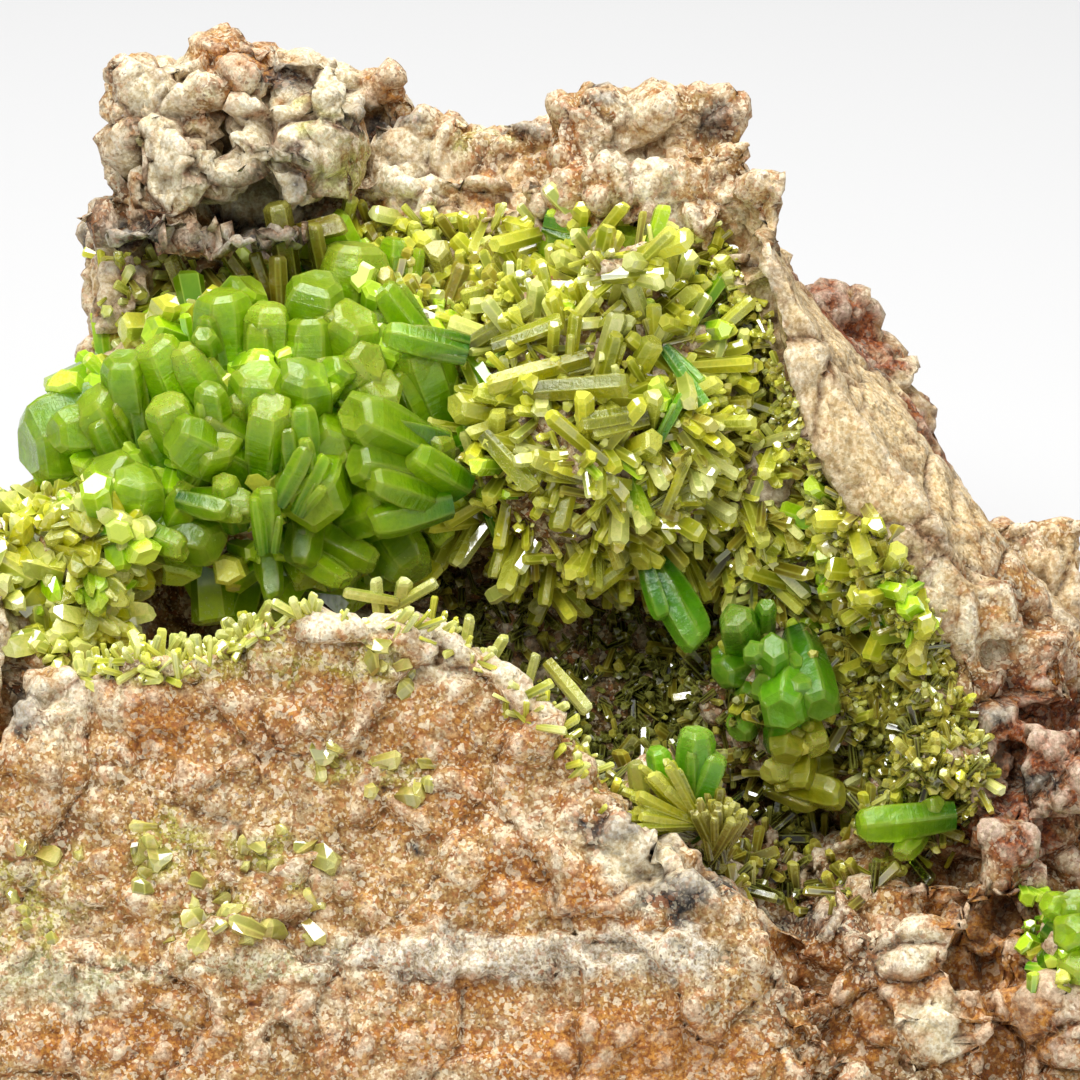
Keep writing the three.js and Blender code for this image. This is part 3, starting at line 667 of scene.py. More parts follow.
@dataclass(frozen=True)
class Break:
    """One size of broken cells in the rock.

    Attributes:
        size: the cells' spacing in mm.
        round: how much each cell bulges, in mm.
        step: how much cells differ in height, in mm.
        depth: depth of the creases between them, in mm.
        cut: their width, as a part of a cell.
        mark: how much dirt and painted shade they hold.
        warp: how wavy they are.
        seed: another seed gives other cells.
    """

    size: float
    round: float
    step: float
    depth: float
    cut: float
    mark: float
    warp: float
    seed: int


class Zone(Enum):
    """The parts of the rock that break in their own way, by name."""

    LEFT_PEAK = "left peak"
    RIGHT_PEAK = "right peak"
    CREST = "crest"
    RUBBLE = "rubble"
    SLAB = "front slab"
    REST = "rest"

    @property
    def layers(self) -> tuple[Break, ...]:
        """The sizes of its cells.

        Returns:
            One entry for each size, from the coarsest to the finest.
        """
        return {
            Zone.LEFT_PEAK: (
                Break(6.6, 3.0, 2.0, 1.2, 0.06, 1.0, 1.0, 3), Break(2.6, 0.9, 0.8, 0.4, 0.07, 0.5, 0.6, 7),
            ),
            Zone.RIGHT_PEAK: (
                Break(5.4, 2.2, 1.8, 0.8, 0.06, 0.8, 1.0, 13),
                Break(2.4, 0.9, 0.9, 0.35, 0.07, 0.5, 0.6, 17),
            ),
            Zone.CREST: (
                Break(12.0, 0.0, 1.0, 0.9, 0.04, 1.0, 1.6, 23),
                Break(4.6, 0.0, 0.5, 0.4, 0.05, 0.6, 1.0, 27),
            ),
            Zone.RUBBLE: (
                Break(8.5, 1.0, 3.8, 1.5, 0.04, 1.0, 0.9, 33), Break(3.4, 0.5, 1.6, 0.6, 0.05, 0.7, 0.7, 37),
            ),
            Zone.SLAB: (
                Break(15.0, 0.4, 2.4, 0.7, 0.016, 0.9, 1.6, 43),
                Break(5.2, 0.6, 1.5, 0.3, 0.05, 0.35, 1.2, 45),
                Break(2.2, 0.8, 0.8, 0.15, 0.08, 0.15, 0.6, 47),
            ),
            Zone.REST: (
                Break(9.0, 0.8, 2.0, 0.9, 0.05, 0.9, 0.9, 53), Break(3.4, 0.6, 0.9, 0.4, 0.07, 0.7, 0.5, 57),
            ),
        }[self]

    def weigh(self, spots: np.ndarray) -> np.ndarray:
        """How much each spot belongs to the zone; over all zones the shares add up to 1.

        Args:
            spots: (N, 3) u, v and out.
        Returns:
            (N,) shares.
        """
        u, v, out = spots.T
        # each zone ends at lines on the sheet, over which it fades into the next
        behind = fade(out, -22.0, -6.0)
        left = fade(u, PEAKS_PART, -2.0) * fade(v, 26.0, -2.0)
        right = fade(u, PEAKS_PART, 2.0) * fade(v, 28.0, -3.0) * fade(u, SLAB_END, -2.0)
        slab = fade(v, 57.0, 2.0) * fade(u, SLAB_END, -2.0) * (out > -3.0)
        crest = fade(past_crest(u, v), -6.0, 3.0) * fade(v, 66.0, -4.0) * (1.0 - right)
        crest = crest * (1.0 - behind) * (v > 14.0)
        rubble = fade(u, SLAB_END, 2.0) * fade(v, 62.0, 4.0) * (1.0 - crest)
        shares = {
            Zone.LEFT_PEAK: left, Zone.RIGHT_PEAK: right * (1.0 - left), Zone.CREST: crest,
            Zone.RUBBLE: rubble, Zone.SLAB: slab * (1.0 - rubble),
        }
        rest = np.clip(1.0 - sum(shares.values()), 0.0, 1.0)
        return rest if self is Zone.REST else shares[self]


STONE_POINTS = 16  # random points whose hull is one block
FLAT_BASE = 2.0  # mm over which the weathering fades out above the cut base
SPARE = 0.015  # how far the weathered rock may pass the CAD box, as a part of its size
VEIN_COLUMN = 1.3  # mm, the width of the upright fibres in the quartz vein
BACK = 30.0  # mm behind the sheet at which the blotches of the back begin
SWELL = (1.3, 18.0)  # height and width in mm of the widest, softest lumps
WAVE = (2.2, 7.0)  # how far the breaks wander from straight, and over what length, in mm
GRAIN_SIZE = 1.1  # mm, the finest cells of the broken surface
FRAME_EDGE = (-3.0, 111.0)  # lowest and highest u and v of the part of the rock that gets the finest grain


@dataclass
class Rock:
    """The matrix: a copy of the CAD rock, broken up at every scale, with its ores painted on.

    Attributes:
        voxel: the size of the remeshing grid in metres.
        most_faces: triangles that the finished rock may have.
        lumps: blocks added to the CAD shape: [u, v, out], [width, height, depth] in mm.
        wedges: slabs added to it, each by the [u, v, out] of its corners in mm.
        mounds: ellipsoids under the crystal groups: [u, v, out], half sizes in mm.
    """

    voxel: float = 0.00048
    most_faces: int = 195000
    lumps: list = field(default_factory=list)
    wedges: list = field(default_factory=list)
    mounds: list = field(default_factory=list)

    def shell(self) -> bpy.types.Object:
        """The CAD rock with the lumps and mounds, as one remeshed skin.

        Returns:
            The object.
        """
        whole = bmesh.new()
        whole.from_mesh(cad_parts["matrix"].data)
        bmesh.ops.remove_doubles(whole, verts=whole.verts, dist=1e-7)
        for index, (centre, size) in enumerate(self.lumps):
            self.add_stone(whole, centre, size, index)
        for corners in self.wedges:
            self.add_hull(whole, SHEET.place(corners))
        for centre, half in self.mounds:
            self.add_mound(whole, centre, half)
        mesh = bpy.data.meshes.new("rock_parts")
        whole.to_mesh(mesh)
        whole.free()
        parts = bpy.data.objects.new("rock_parts", mesh)
        bpy.context.scene.collection.objects.link(parts)
        remesh = parts.modifiers.new("skin", "REMESH")
        remesh.mode = "VOXEL"
        remesh.voxel_size = self.voxel
        return evaluated(parts, "rock_skin")

    @staticmethod
    def add_stone(whole: bmesh.types.BMesh, centre: list, size: list, seed: int) -> None:
        """Adds an angular block: the hull of random points on a squared-off ball.

        Args:
            whole: the mesh that it goes in.
            centre: [u, v, out] in mm.
            size: [width, height, depth] in mm.
            seed: another seed gives another block.
        """
        chance = np.random.default_rng(seed + 100)
        ball = unit(chance.normal(size=(STONE_POINTS, 3)))
        squared = ball / np.max(np.abs(ball), axis=1, keepdims=True)
        local = (0.45 * ball + 0.55 * squared * 0.82) * np.array(size) / 2.0 * MM
        Rock.add_hull(whole, SHEET.place([centre]) + local @ SHEET.axes())

    @staticmethod
    def add_hull(whole: bmesh.types.BMesh, points: np.ndarray) -> None:
        """Adds the hull of some points.

        Args:
            whole: the mesh that it goes in.
            points: (N, 3) metres.
        """
        made = [whole.verts.new(p) for p in points]
        hull = bmesh.ops.convex_hull(whole, input=made)
        spare = hull["geom_interior"] + hull["geom_unused"]
        loose = {part for part in spare if isinstance(part, bmesh.types.BMVert)}
        bmesh.ops.delete(whole, geom=list(loose), context="VERTS")

    @staticmethod
    def add_mound(whole: bmesh.types.BMesh, centre: list, half: list) -> None:
        """Adds an ellipsoid whose axes are the sheet's.

        Args:
            whole: the mesh that it goes in.
            centre: [u, v, out] in mm.
            half: its half sizes along u, v and out in mm.
        """
        middle, axes = SHEET.place([centre])[0], SHEET.axes()
        for v in bmesh.ops.create_icosphere(whole, subdivisions=4, radius=1.0)["verts"]:
            v.co = Vector(middle + (np.array(v.co) * np.array(half) * MM) @ axes)

    def weather(self, skin: bpy.types.Object) -> None:
        """Moves the skin along its normals: lumps and broken cells with creases between, and fine grain.

        A cell bulges by how near its seed is, stands at a random step, and falls off at its edge by
        exp(-distance / cut). All of it fades out towards the flat base.

        Args:
            skin: the remeshed rock.
        """
        points = vertices_of(skin.data)
        normals = normals_of(skin.data)
        mm = points / MM
        spots = SHEET.read(points)
        zones = {zone: zone.weigh(spots) for zone in Zone}
        warp = np.stack([fractal(mm, WAVE[1], 2, 40 + k) for k in range(3)], axis=1) * WAVE[0]
        facing = normals @ SHEET.axes()[2]
        framed = np.all((spots[:, :2] > FRAME_EDGE[0]) & (spots[:, :2] < FRAME_EDGE[1]), axis=1)
        shown = np.clip(1.0 + 2.0 * facing, 0.0, 1.0) * framed * (spots[:, 2] > -36.0)
        lift = SWELL[0] * fractal(mm, SWELL[1], 3, 5)
        crease = np.zeros(len(mm))
        for zone, share in zones.items():
            for layer in zone.layers:
                near, edge, name = shattered(mm + layer.warp * warp, layer.size, layer.seed)
                cut = np.exp(-edge / layer.cut)
                lift += share * (layer.round * (0.5 - near) + layer.step * (name - 0.5) - layer.depth * cut)
                crease = np.maximum(crease, share * cut * layer.mark)
        near, _, grain = shattered(mm + 0.3 * warp, GRAIN_SIZE, 11)
        coarse = 1.0 - 0.5 * zones[Zone.CREST]
        fine = 0.42 * (0.5 - near) + 0.2 * (grain - 0.5) + 0.34 * fractal(mm, 2.6, 3, 21)
        lift += coarse * (0.3 + 0.7 * shown) * fine
        lift += self.vein(spots) * (0.5 + 0.9 * fractal(spots * np.array([1.0, 0.25, 0.25]), 1.3, 2, 33))
        moved = points + normals * (lift * fade(mm[:, 2], 0.0, FLAT_BASE) * MM)[:, None]
        low, high = np.array(CAD_BOX[0]), np.array(CAD_BOX[1])
        moved = np.clip(moved, low - SPARE * (high - low), high + SPARE * (high - low))
        moved[:, 2] = np.maximum(moved[:, 2], 0.0)
        skin.data.vertices.foreach_set("co", moved.astype(np.float32).ravel())
        skin.data.update()
        paint(skin.data, "crease", np.clip(crease, 0.0, 1.0))

    @staticmethod
    def vein(spots: np.ndarray) -> np.ndarray:
        """How much each spot lies in the white quartz vein that crosses the foot of the front slab: a band
        round a wandering line, whose upright fibres each end at their own height.

        Args:
            spots: (N, 3) u, v and out.
        Returns:
            (N,) from 0 to 1.
        """
        u, v, out = spots.T
        level = np.zeros(len(u))
        shift = 0.5 * smooth_noise(spots * np.array([1.0, 1.0, 0.0]), 2.0, 92)
        fibre = np.stack([np.floor(u / VEIN_COLUMN + shift), level, level], axis=1)
        wander = 0.8 * smooth_noise(np.stack([u, level, level], axis=1), 7.0, 90)
        middle = 95.2 + 0.07 * np.maximum(48.0 - u, 0.0) + wander + 1.2 * (hashed(fibre, 93) - 0.5)
        swell = 1.1 * smooth_noise(np.stack([u, level + 9.0, level], axis=1), 9.0, 91)
        half = 2.0 + swell + hashed(fibre, 94) - 0.5
        inside = np.clip((half - np.abs(v - middle)) / 0.4, 0.0, 1.0) * (0.55 + 0.45 * fade(u, 22.0, 12.0))
        return inside * fade(u, 73.0, -3.0) * (out > -6.0)

    def thin(self, skin: bpy.types.Object) -> bpy.types.Object:
        """Thins the mesh out, most where it is calm.

        Args:
            skin: the weathered rock.
        Returns:
            The thinned object.
        """
        faces = sum(len(p.vertices) - 2 for p in skin.data.polygons)
        log.info("rock: %d triangles before thinning", faces)
        if faces > self.most_faces:
            skin.modifiers.new("thin", "DECIMATE").ratio = self.most_faces / faces
        return evaluated(skin, "rock")

    @staticmethod
    def ores_at(spots: np.ndarray, mm: np.ndarray) -> dict[Ore, np.ndarray]:
        """How much of each ore spots hold: the patches, and blotches on the back of the rock.

        Args:
            spots: (N, 3) u, v and out.
            mm: (N, 3) the places in the part's frame.
        Returns:
            (N,) shares for each ore.
        """
        shares = {ore: np.zeros(len(spots)) for ore in Ore}
        for patch in PATCHES:
            shares[patch.ore] = np.maximum(shares[patch.ore], patch.weigh(spots))
        away = fade(-spots[:, 2], BACK, 6.0)
        shares[Ore.RUST] = np.maximum(shares[Ore.RUST], away * 0.5 * (1 + fractal(mm, 18.0, 2, 70)))
        shares[Ore.RED] = np.maximum(shares[Ore.RED], away * 0.6 * fractal(mm, 22.0, 2, 75))
        shares[Ore.WHITE] = np.maximum(shares[Ore.WHITE], away * 0.7 * fractal(mm, 20.0, 2, 80))
        return shares

    def colour(self, rock: bpy.types.Object) -> None:
        """Paints the rock's darker and lighter tone on the vertices: each ore over the ones before it, then a painted
        highlight on the edges and painted shade in creases and hollows.

        Args:
            rock: the finished mesh.
        """
        points = vertices_of(rock.data)
        mm = points / MM
        plain = SHEET.read(points)
        spots = plain.copy()
        spots[:, :2] += np.stack([fractal(mm, 5.0, 3, 60 + k) for k in range(2)], axis=1) * 1.4
        shares = self.ores_at(spots, mm)
        ragged = 0.8 * fractal(mm, 1.7, 3, 81) + 0.35 * fractal(mm, 5.0, 2, 82)
        wide, other = fractal(mm, 7.0, 3, 83), fractal(mm, 4.5, 3, 84)
        tones = [np.tile(ink(*shade), (len(points), 1)) for shade in Glaze.GROUND.value]

        def lay(share: np.ndarray, pair: tuple) -> None:
            """Lays a darker and a lighter tone over what is there.

            Args:
                share: (N,) how much they cover.
                pair: both, as seen on a screen.
            """
            for tone, over in zip(tones, pair):
                tone += share[:, None] * (np.array(ink(*over)) - tone)

        # blotches over the whole rock, and then the ores
        lay(np.clip(2.2 * other - 0.1, 0.0, 0.85), Glaze.OCHRE.value)
        lay(np.clip(2.6 * wide - 0.3, 0.0, 0.85), Glaze.CREAM.value)
        for ore, share in shares.items():
            hides = ore.value[2]
            lay(hides * fade(share + ragged, 0.36, 0.3) * np.clip(share / 0.25, 0.0, 1.0), ore.value[:2])
        # the quartz vein, greenish at its left, and the dark lining of the hollow
        quartz = np.clip(self.vein(plain) * 1.6 + 0.9 * ragged - 0.4, 0.0, 0.9)
        lay(quartz, Glaze.QUARTZ.value)
        lay(0.7 * quartz * np.clip((38.0 - plain[:, 0]) / 12.0 + ragged, 0.0, 1.0), Glaze.GREEN_QUARTZ.value)
        lay(np.clip(1.3 * self.hollow(spots), 0.0, 0.9), Glaze.LINING.value)
        # convex edges get a painted highlight, creases hold dirt and painted shade, the less convex places get
        # painted shade, and pits are darker
        ridge = np.clip(0.5 + 1.6 * sharpness(rock.data, 2), 0.0, 1.0)
        lay(np.clip((ridge - 0.62) / 0.3, 0.0, 0.5), Glaze.EDGE.value)
        # dirt and painted shade in the creases
        lay(np.clip((self.crease_of(rock) + 0.35 * ragged - 0.2) / 0.5, 0.0, 0.9), Glaze.DIRT.value)
        pitted = 1.0 - 0.35 * np.clip(-1.5 * ragged, 0, 1)
        # painted shade: both tones are darkened where the surface is flat or hollow
        shade = np.clip(0.6 + 0.4 * (ridge - 0.2) / 0.35, 0.6, 1.0) * pitted
        for name, tone in zip(("dark_tone", "light_tone"), tones):
            paint(rock.data, name, tone * shade[:, None])
        # smooth ores show fewer single grains
        even = {Ore.WHITE: 1.0, Ore.BEIGE: 1.0, Ore.RED: 0.9, Ore.RUST: 0.7, Ore.DARK: 1.0}
        calm = np.maximum.reduce([part * shares[ore] for ore, part in even.items()])
        paint(rock.data, "calm", np.clip(calm, 0.0, 1.0))

    @staticmethod
    def crease_of(rock: bpy.types.Object) -> np.ndarray:
        """The dirt and painted shade in the creases, as the weathering left it on the mesh.

        Args:
            rock: the finished mesh.
        Returns:
            (N,) fractions.
        """
        flat = np.zeros(len(rock.data.vertices), np.float32)
        rock.data.attributes["crease"].data.foreach_get("value", flat)
        return flat.astype(np.float64)

    @staticmethod
    def hollow(spots: np.ndarray) -> np.ndarray:
        """How much each spot lies in the crystal-lined hollow: 1.4 less the squared way from the middle of
        an oval, in its half sizes, faded out in front, above and past the crest.

        Args:
            spots: (N, 3) u, v and out.
        Returns:
            (N,) from 0 to 1.
        """
        u, v, out = spots.T
        across = ((u - 56.0) / 42.0) ** 2 + ((v - 56.0) / 34.0) ** 2
        inside = np.clip(1.4 - across, 0.0, 1.0) * fade(out, 3.0, -4.0)
        inside = inside * fade(past_crest(u, v), 0.5, -2.0)
        return inside * (out > -27.0) * fade(v, 27.0, 12.0)

    def dress(self) -> bpy.types.Material:
        """The rock's finish: its two painted tones mixed by noise, with single grains, each grain a facet.

        Returns:
            The material.
        """
        g = Graph("ironstone and barite")
        p = g.place()
        blend = g.step(g.noise(p, 1.8, 5.0, 0.75), 0.4, 0.6)
        colour = g.mix(blend, g.painted("dark_tone", "Color"), g.painted("light_tone", "Color"))
        large, small = g.cells(p, 1.8), g.cells(p, 4.0)
        grains, dust = (g.node("SeparateColor", Color=cells).outputs for cells in (large, small))
        lively = g.step(g.painted("calm"), 0.3, 0.9, 1.0, 0.25)
        for chance, low, most, shade in (  # a cell's number, where grains of the colour begin, how strong
            (grains[1], 0.8, 0.55, (252, 240, 208)),
            (grains[2], 0.84, 0.5, (178, 106, 50)),
            (dust[0], 0.8, 0.55, (140, 84, 40)),
            (dust[1], 0.82, 0.5, (250, 234, 196)),
            (dust[2], 0.93, 0.6, (66, 50, 40)),
        ):
            share = g.math("MULTIPLY", g.step(chance, low, low + 0.06, 0.0, most), lively)
            colour = g.mix(share, colour, ink(*shade))
        # each grain is a facet that is turned its own way
        turned = g.vector("SUBTRACT", large, (0.5, 0.5, 0.5))
        tipped = g.node("VectorMath", operation="SCALE", Vector=turned, Scale=0.45).outputs[0]
        finer = g.vector("MULTIPLY_ADD", small, (0.55, 0.55, 0.55), (-0.275, -0.275, -0.275))
        normal = g.vector("ADD", g.node("NewGeometry").outputs["Normal"], tipped)
        normal = g.vector("NORMALIZE", g.vector("ADD", normal, finer))
        gleam = g.step(dust[2], 0.8, 0.95, 0.75, 0.35)
        return g.finish(Base_Color=colour, Roughness=gleam, Normal=normal, IOR=1.5)

    def build(self) -> bpy.types.Object:
        """Makes the rock in place of the CAD matrix.

        Returns:
            The object.
        """
        skin = self.shell()
        self.weather(skin)
        rock = self.thin(skin)
        self.colour(rock)
        rock.data.materials.clear()
        rock.data.materials.append(self.dress())
        rock.data.polygons.foreach_set("use_smooth", np.ones(len(rock.data.polygons), bool))
        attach(rock, "root")
        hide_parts("matrix")
        return rock


# ------------------------------------------------------------------ crystals
class Habit(Enum):
    """A crystal's colours at its foot, in its body and at its tip, as seen on a screen."""

    LIME = ((78, 162, 0), (180, 232, 0), (224, 246, 56))
    EMERALD = ((48, 134, 0), (130, 218, 6), (184, 238, 84))
    YELLOW = ((144, 138, 4), (216, 208, 18), (242, 240, 104))
    OLIVE = ((92, 70, 8), (160, 136, 26), (202, 186, 72))
    PALE = ((190, 180, 50), (232, 228, 110), (250, 250, 190))
    STRAW = ((160, 132, 58), (206, 188, 100), (232, 222, 156))
    SHADE = ((22, 18, 2), (50, 42, 6), (86, 74, 14))


@dataclass(frozen=True)
class Profile:
    """The outline of a crystal along its length.

    Attributes:
        rings: pairs of the part of the length and the part of the width, from foot to tip.
        chamfer: how much of each side the narrow faces between the sides take; none at 0.
        ragged: how unequal the sides are.
        tilt: how oblique the end face is, in degrees.
        girth: a factor on the widths of the crystals that are listed one by one.
    """

    rings: tuple[tuple[float, float], ...]
    chamfer: float
    ragged: float
    tilt: float
    girth: float = 0.76

    @property
    def along(self) -> np.ndarray:
        """(rings,) part of the length at each ring."""
        return np.array([ring[0] for ring in self.rings])

    @property
    def around(self) -> np.ndarray:
        """(rings,) part of the width at each ring."""
        return np.array([ring[1] for ring in self.rings])


BARREL = Profile(
    ((0.0, 0.8), (0.3, 0.96), (0.62, 1.02), (0.84, 0.98), (0.95, 0.84), (1.0, 0.58)), 0.07, 0.34, 15.0, 1.16,
)
NEEDLE = Profile(((0.0, 0.84), (0.55, 0.98), (0.95, 1.0), (1.0, 0.76)), 0.0, 0.4, 14.0)
GRAIN = Profile(((0.0, 0.84), (0.93, 1.0), (1.0, 0.72)), 0.0, 0.5, 16.0)
SHARD = Profile(((0.0, 0.7), (0.5, 1.0), (0.85, 0.86), (1.0, 0.34)), 0.0, 1.0, 30.0)
ROOT = 1.5  # mm that are added to a listed crystal's length, at its foot
TWIN_GAP = 0.4  # how far twins stand off their crystal, in its widths
TWIN_LEAN = 0.12  # how far they lean from it, as a sine


@dataclass
class Crop:
    """Crystals that are made together.

    Attributes:
        tips: (N, 3) middle of each end face in metres.
        axes: (N, 3) unit vectors from foot to tip.
        lengths: (N,) metres.
        widths: (N,) metres across the corners.
        habits: the habit of each.
        frost: (N,) from 0 clear to 1 pale all over.
    """

    tips: np.ndarray
    axes: np.ndarray
    lengths: np.ndarray
    widths: np.ndarray
    habits: list
    frost: np.ndarray

    @classmethod
    def listed(cls, rows: list, habit: Habit, dome: "Dome | None", girth: float) -> "Crop":
        """Crystals from rows of [u, v, out, bearing, rise, length, width], in mm and degrees.

        Args:
            rows: the rows; an eighth value is another habit.
            habit: the habit of the others.
            dome: a dome that the rows' out is counted from.
            girth: a factor on the widths.
        Returns:
            The crop.
        """
        table = np.array([row[:7] for row in rows], float)
        if dome is not None:
            table[:, 2] += dome.height_at(table[:, 0], table[:, 1])
        habits = [row[7] if len(row) > 7 else habit for row in rows]
        frost = np.random.default_rng(len(rows)).random(len(rows)) ** 2
        return cls(
            SHEET.place(table[:, :3]), SHEET.heading(table[:, 3], table[:, 4]),
            (table[:, 5] + ROOT) * MM, table[:, 6] * girth * MM, habits, frost,
        )

    @classmethod
    def fan(cls, foot: list, bearings: tuple, rises: tuple, count: int, length: float, width: float,
            habit: Habit, seed: int) -> "Crop":
        """A sheaf of crystals that spread from nearly one foot, at even steps of the bearing.

        Args:
            foot: [u, v, out] of the foot in mm.
            bearings, rises: the first and last of each, in degrees.
            count: how many crystals.
            length, width: mm.
            habit: their habit.
            seed: another seed gives others.
        Returns:
            The crop.
        """
        chance = np.random.default_rng(seed)
        bearing = np.linspace(*bearings, count) + chance.normal(size=count) * 5.0
        axes = SHEET.heading(bearing, chance.uniform(*rises, count))
        lengths = length * (0.8 + 0.3 * chance.random(count)) * MM
        feet = SHEET.place([foot]) + chance.normal(size=(count, 3)) * 0.5 * MM
        widths = width * (0.7 + 0.6 * chance.random(count)) * MM
        tips = feet + axes * lengths[:, None]
        return cls(tips, axes, lengths, widths, [habit] * count, chance.random(count))

    def twinned(self, each: int, seed: int) -> "Crop":
        """The crop with smaller crystals grown nearly parallel to each one: each stands off at right angles
        to its axis, and leans from it at random.

        Args:
            each: how many.
            seed: another seed gives others.
        Returns:
            The larger crop.
        """
        chance = np.random.default_rng(seed)
        many = np.repeat(np.arange(len(self.tips)), each)
        count, size = len(many), (len(many), 3)
        axes = unit(self.axes[many] + TWIN_LEAN * chance.normal(size=size))
        off = unit(np.cross(self.axes[many], chance.normal(size=size)))
        lengths = self.lengths[many] * (0.55 + 0.4 * chance.random(count))
        widths = self.widths[many] * (0.35 + 0.4 * chance.random(count))
        feet = self.tips[many] - self.axes[many] * self.lengths[many][:, None]
        feet = feet + off * (self.widths[many] * TWIN_GAP * (0.6 + 0.6 * chance.random(count)))[:, None]
        habits = [self.habits[k] for k in many]
        tips = feet + axes * lengths[:, None]
        return self + Crop(tips, axes, lengths, widths, habits, chance.random(count))

    def __add__(self, other: "Crop") -> "Crop":
        """Both crops together.

        Args:
            other: the crystals that come after these.
        Returns:
            The larger crop.
        """
        return Crop(
            np.concatenate([self.tips, other.tips]), np.concatenate([self.axes, other.axes]),
            np.concatenate([self.lengths, other.lengths]), np.concatenate([self.widths, other.widths]),
            self.habits + other.habits, np.concatenate([self.frost, other.frost]),
        )


@dataclass(frozen=True)
class Dome:
    """A domed mass on the sheet, whose height falls off from its middle by a parabola.

    Attributes:
        centre: u and v in mm.
        radii: half sizes in mm.
        edge: out at the radii.
        height: how much higher the middle is.
    """

    centre: tuple[float, float]
    radii: tuple[float, float]
    edge: float
    height: float

    def height_at(self, u: np.ndarray, v: np.ndarray) -> np.ndarray:
        """Out of the dome's surface: edge + height * (1 - the squared way from the middle, in radii).

        Args:
            u, v: (N,) mm.
        Returns:
            (N,) mm.
        """
        away = ((u - self.centre[0]) / self.radii[0]) ** 2 + ((v - self.centre[1]) / self.radii[1]) ** 2
        return self.edge + self.height * (1.0 - away)


def sections_of(crop: Crop, profile: Profile, chance: np.random.Generator) -> np.ndarray:
    """The corners of each crystal across its axis: at radius * (cos a, sin a) for a = 60 degrees * corner
    plus a spin. A chamfer makes two corners of each.

    Args:
        crop: the crystals.
        profile: their outline.
        chance: where the irregularities come from.
    Returns:
        (N, sides, 2) metres.
    """
    count = len(crop.tips)
    spin = chance.random(count)[:, None] * math.pi / 3
    angle = spin + np.arange(6) * math.pi / 3 + (chance.random((count, 6)) - 0.5) * profile.ragged
    reach = 0.5 * crop.widths[:, None] * (1.0 + profile.ragged * (chance.random((count, 6)) - 0.5))
    section = reach[..., None] * np.stack([np.cos(angle), np.sin(angle)], axis=-1)
    if profile.chamfer == 0:
        return section
    keep, give = 1 - profile.chamfer, profile.chamfer
    pair = [section * keep + np.roll(section, turn, axis=1) * give for turn in (1, -1)]
    return np.stack(pair, axis=2).reshape(count, 12, 2)


def points_of(crop: Crop, profile: Profile, section: np.ndarray, chance: np.random.Generator) -> np.ndarray:
    """The corners of each crystal's rings from foot to tip, and then the middle of its end face, which is a
    little lower or higher than the rim.

    A corner lies at tip + x * east + y * north + h * axis: x and y are the section times the ring's width,
    and h runs from minus the length at the foot to 0, plus a tilt that grows towards the tip.

    Args:
        crop: the crystals.
        profile: their outline.
        section: (N, sides, 2) their corners across the axis.
        chance: where the irregularities come from.
    Returns:
        (N, rings * sides + 1, 3) metres.
    """
    count, sides = section.shape[:2]
    t, r = profile.along, profile.around
    helper = np.where(np.abs(crop.axes[:, 2:3]) < 0.9, [[0.0, 0.0, 1.0]], [[1.0, 0.0, 0.0]])
    east = unit(np.cross(helper, crop.axes))
    north = np.cross(crop.axes, east)
    slope = np.tan(np.radians(profile.tilt) * (chance.random(count) * 1.6 - 0.3))
    lean = chance.random(count) * 2 * math.pi
    tilted = (section @ np.stack([np.cos(lean), np.sin(lean)], axis=-1)[..., None])[..., 0] * slope[:, None]
    uneven = 0.5 * profile.ragged * (chance.random((count, len(t), sides)) - 0.5)
    uneven = 1.0 + uneven * np.sin(math.pi * t)[None, :, None]
    across = section[:, None] * r[None, :, None, None] * uneven[..., None]
    up = (t[None, :, None] - 1.0) * crop.lengths[:, None, None] + (t**6 * r)[None, :, None] * tilted[:, None]
    rings = (
        crop.tips[:, None, None]
        + across[..., :1] * east[:, None, None]
        + across[..., 1:] * north[:, None, None]
        + up[..., None] * crop.axes[:, None, None]
    ).reshape(count, -1, 3)
    proud = crop.widths * (chance.random(count) - 0.55) * 0.12  # most end faces are a little hollow
    crown = rings[:, -sides:].mean(axis=1) + crop.axes * proud[:, None]
    return np.concatenate([rings, crown[:, None]], axis=1)


def faces_of(rings: int, sides: int) -> tuple[np.ndarray, np.ndarray]:
    """The faces of one crystal: walls from ring to ring, a fan round the end's middle, and the foot.

    Args:
        rings: how many rings it has.
        sides: corners of each.
    Returns:
        The vertex numbers of all the faces in a row, and how many of them each face has.
    """
    corner = np.arange(sides)
    ahead = (corner + 1) % sides
    rise = (np.arange(rings - 1) * sides)[:, None]
    walls = np.stack([rise + corner, rise + ahead, rise + ahead + sides, rise + corner + sides], axis=-1)
    last = (rings - 1) * sides
    cap = np.stack([last + corner, last + ahead, np.full(sides, rings * sides)], axis=-1)
    loops = np.concatenate([walls.reshape(-1), cap.reshape(-1), corner[::-1]])
    return loops, np.concatenate([np.full((rings - 1) * sides, 4), np.full(sides, 3), [sides]])


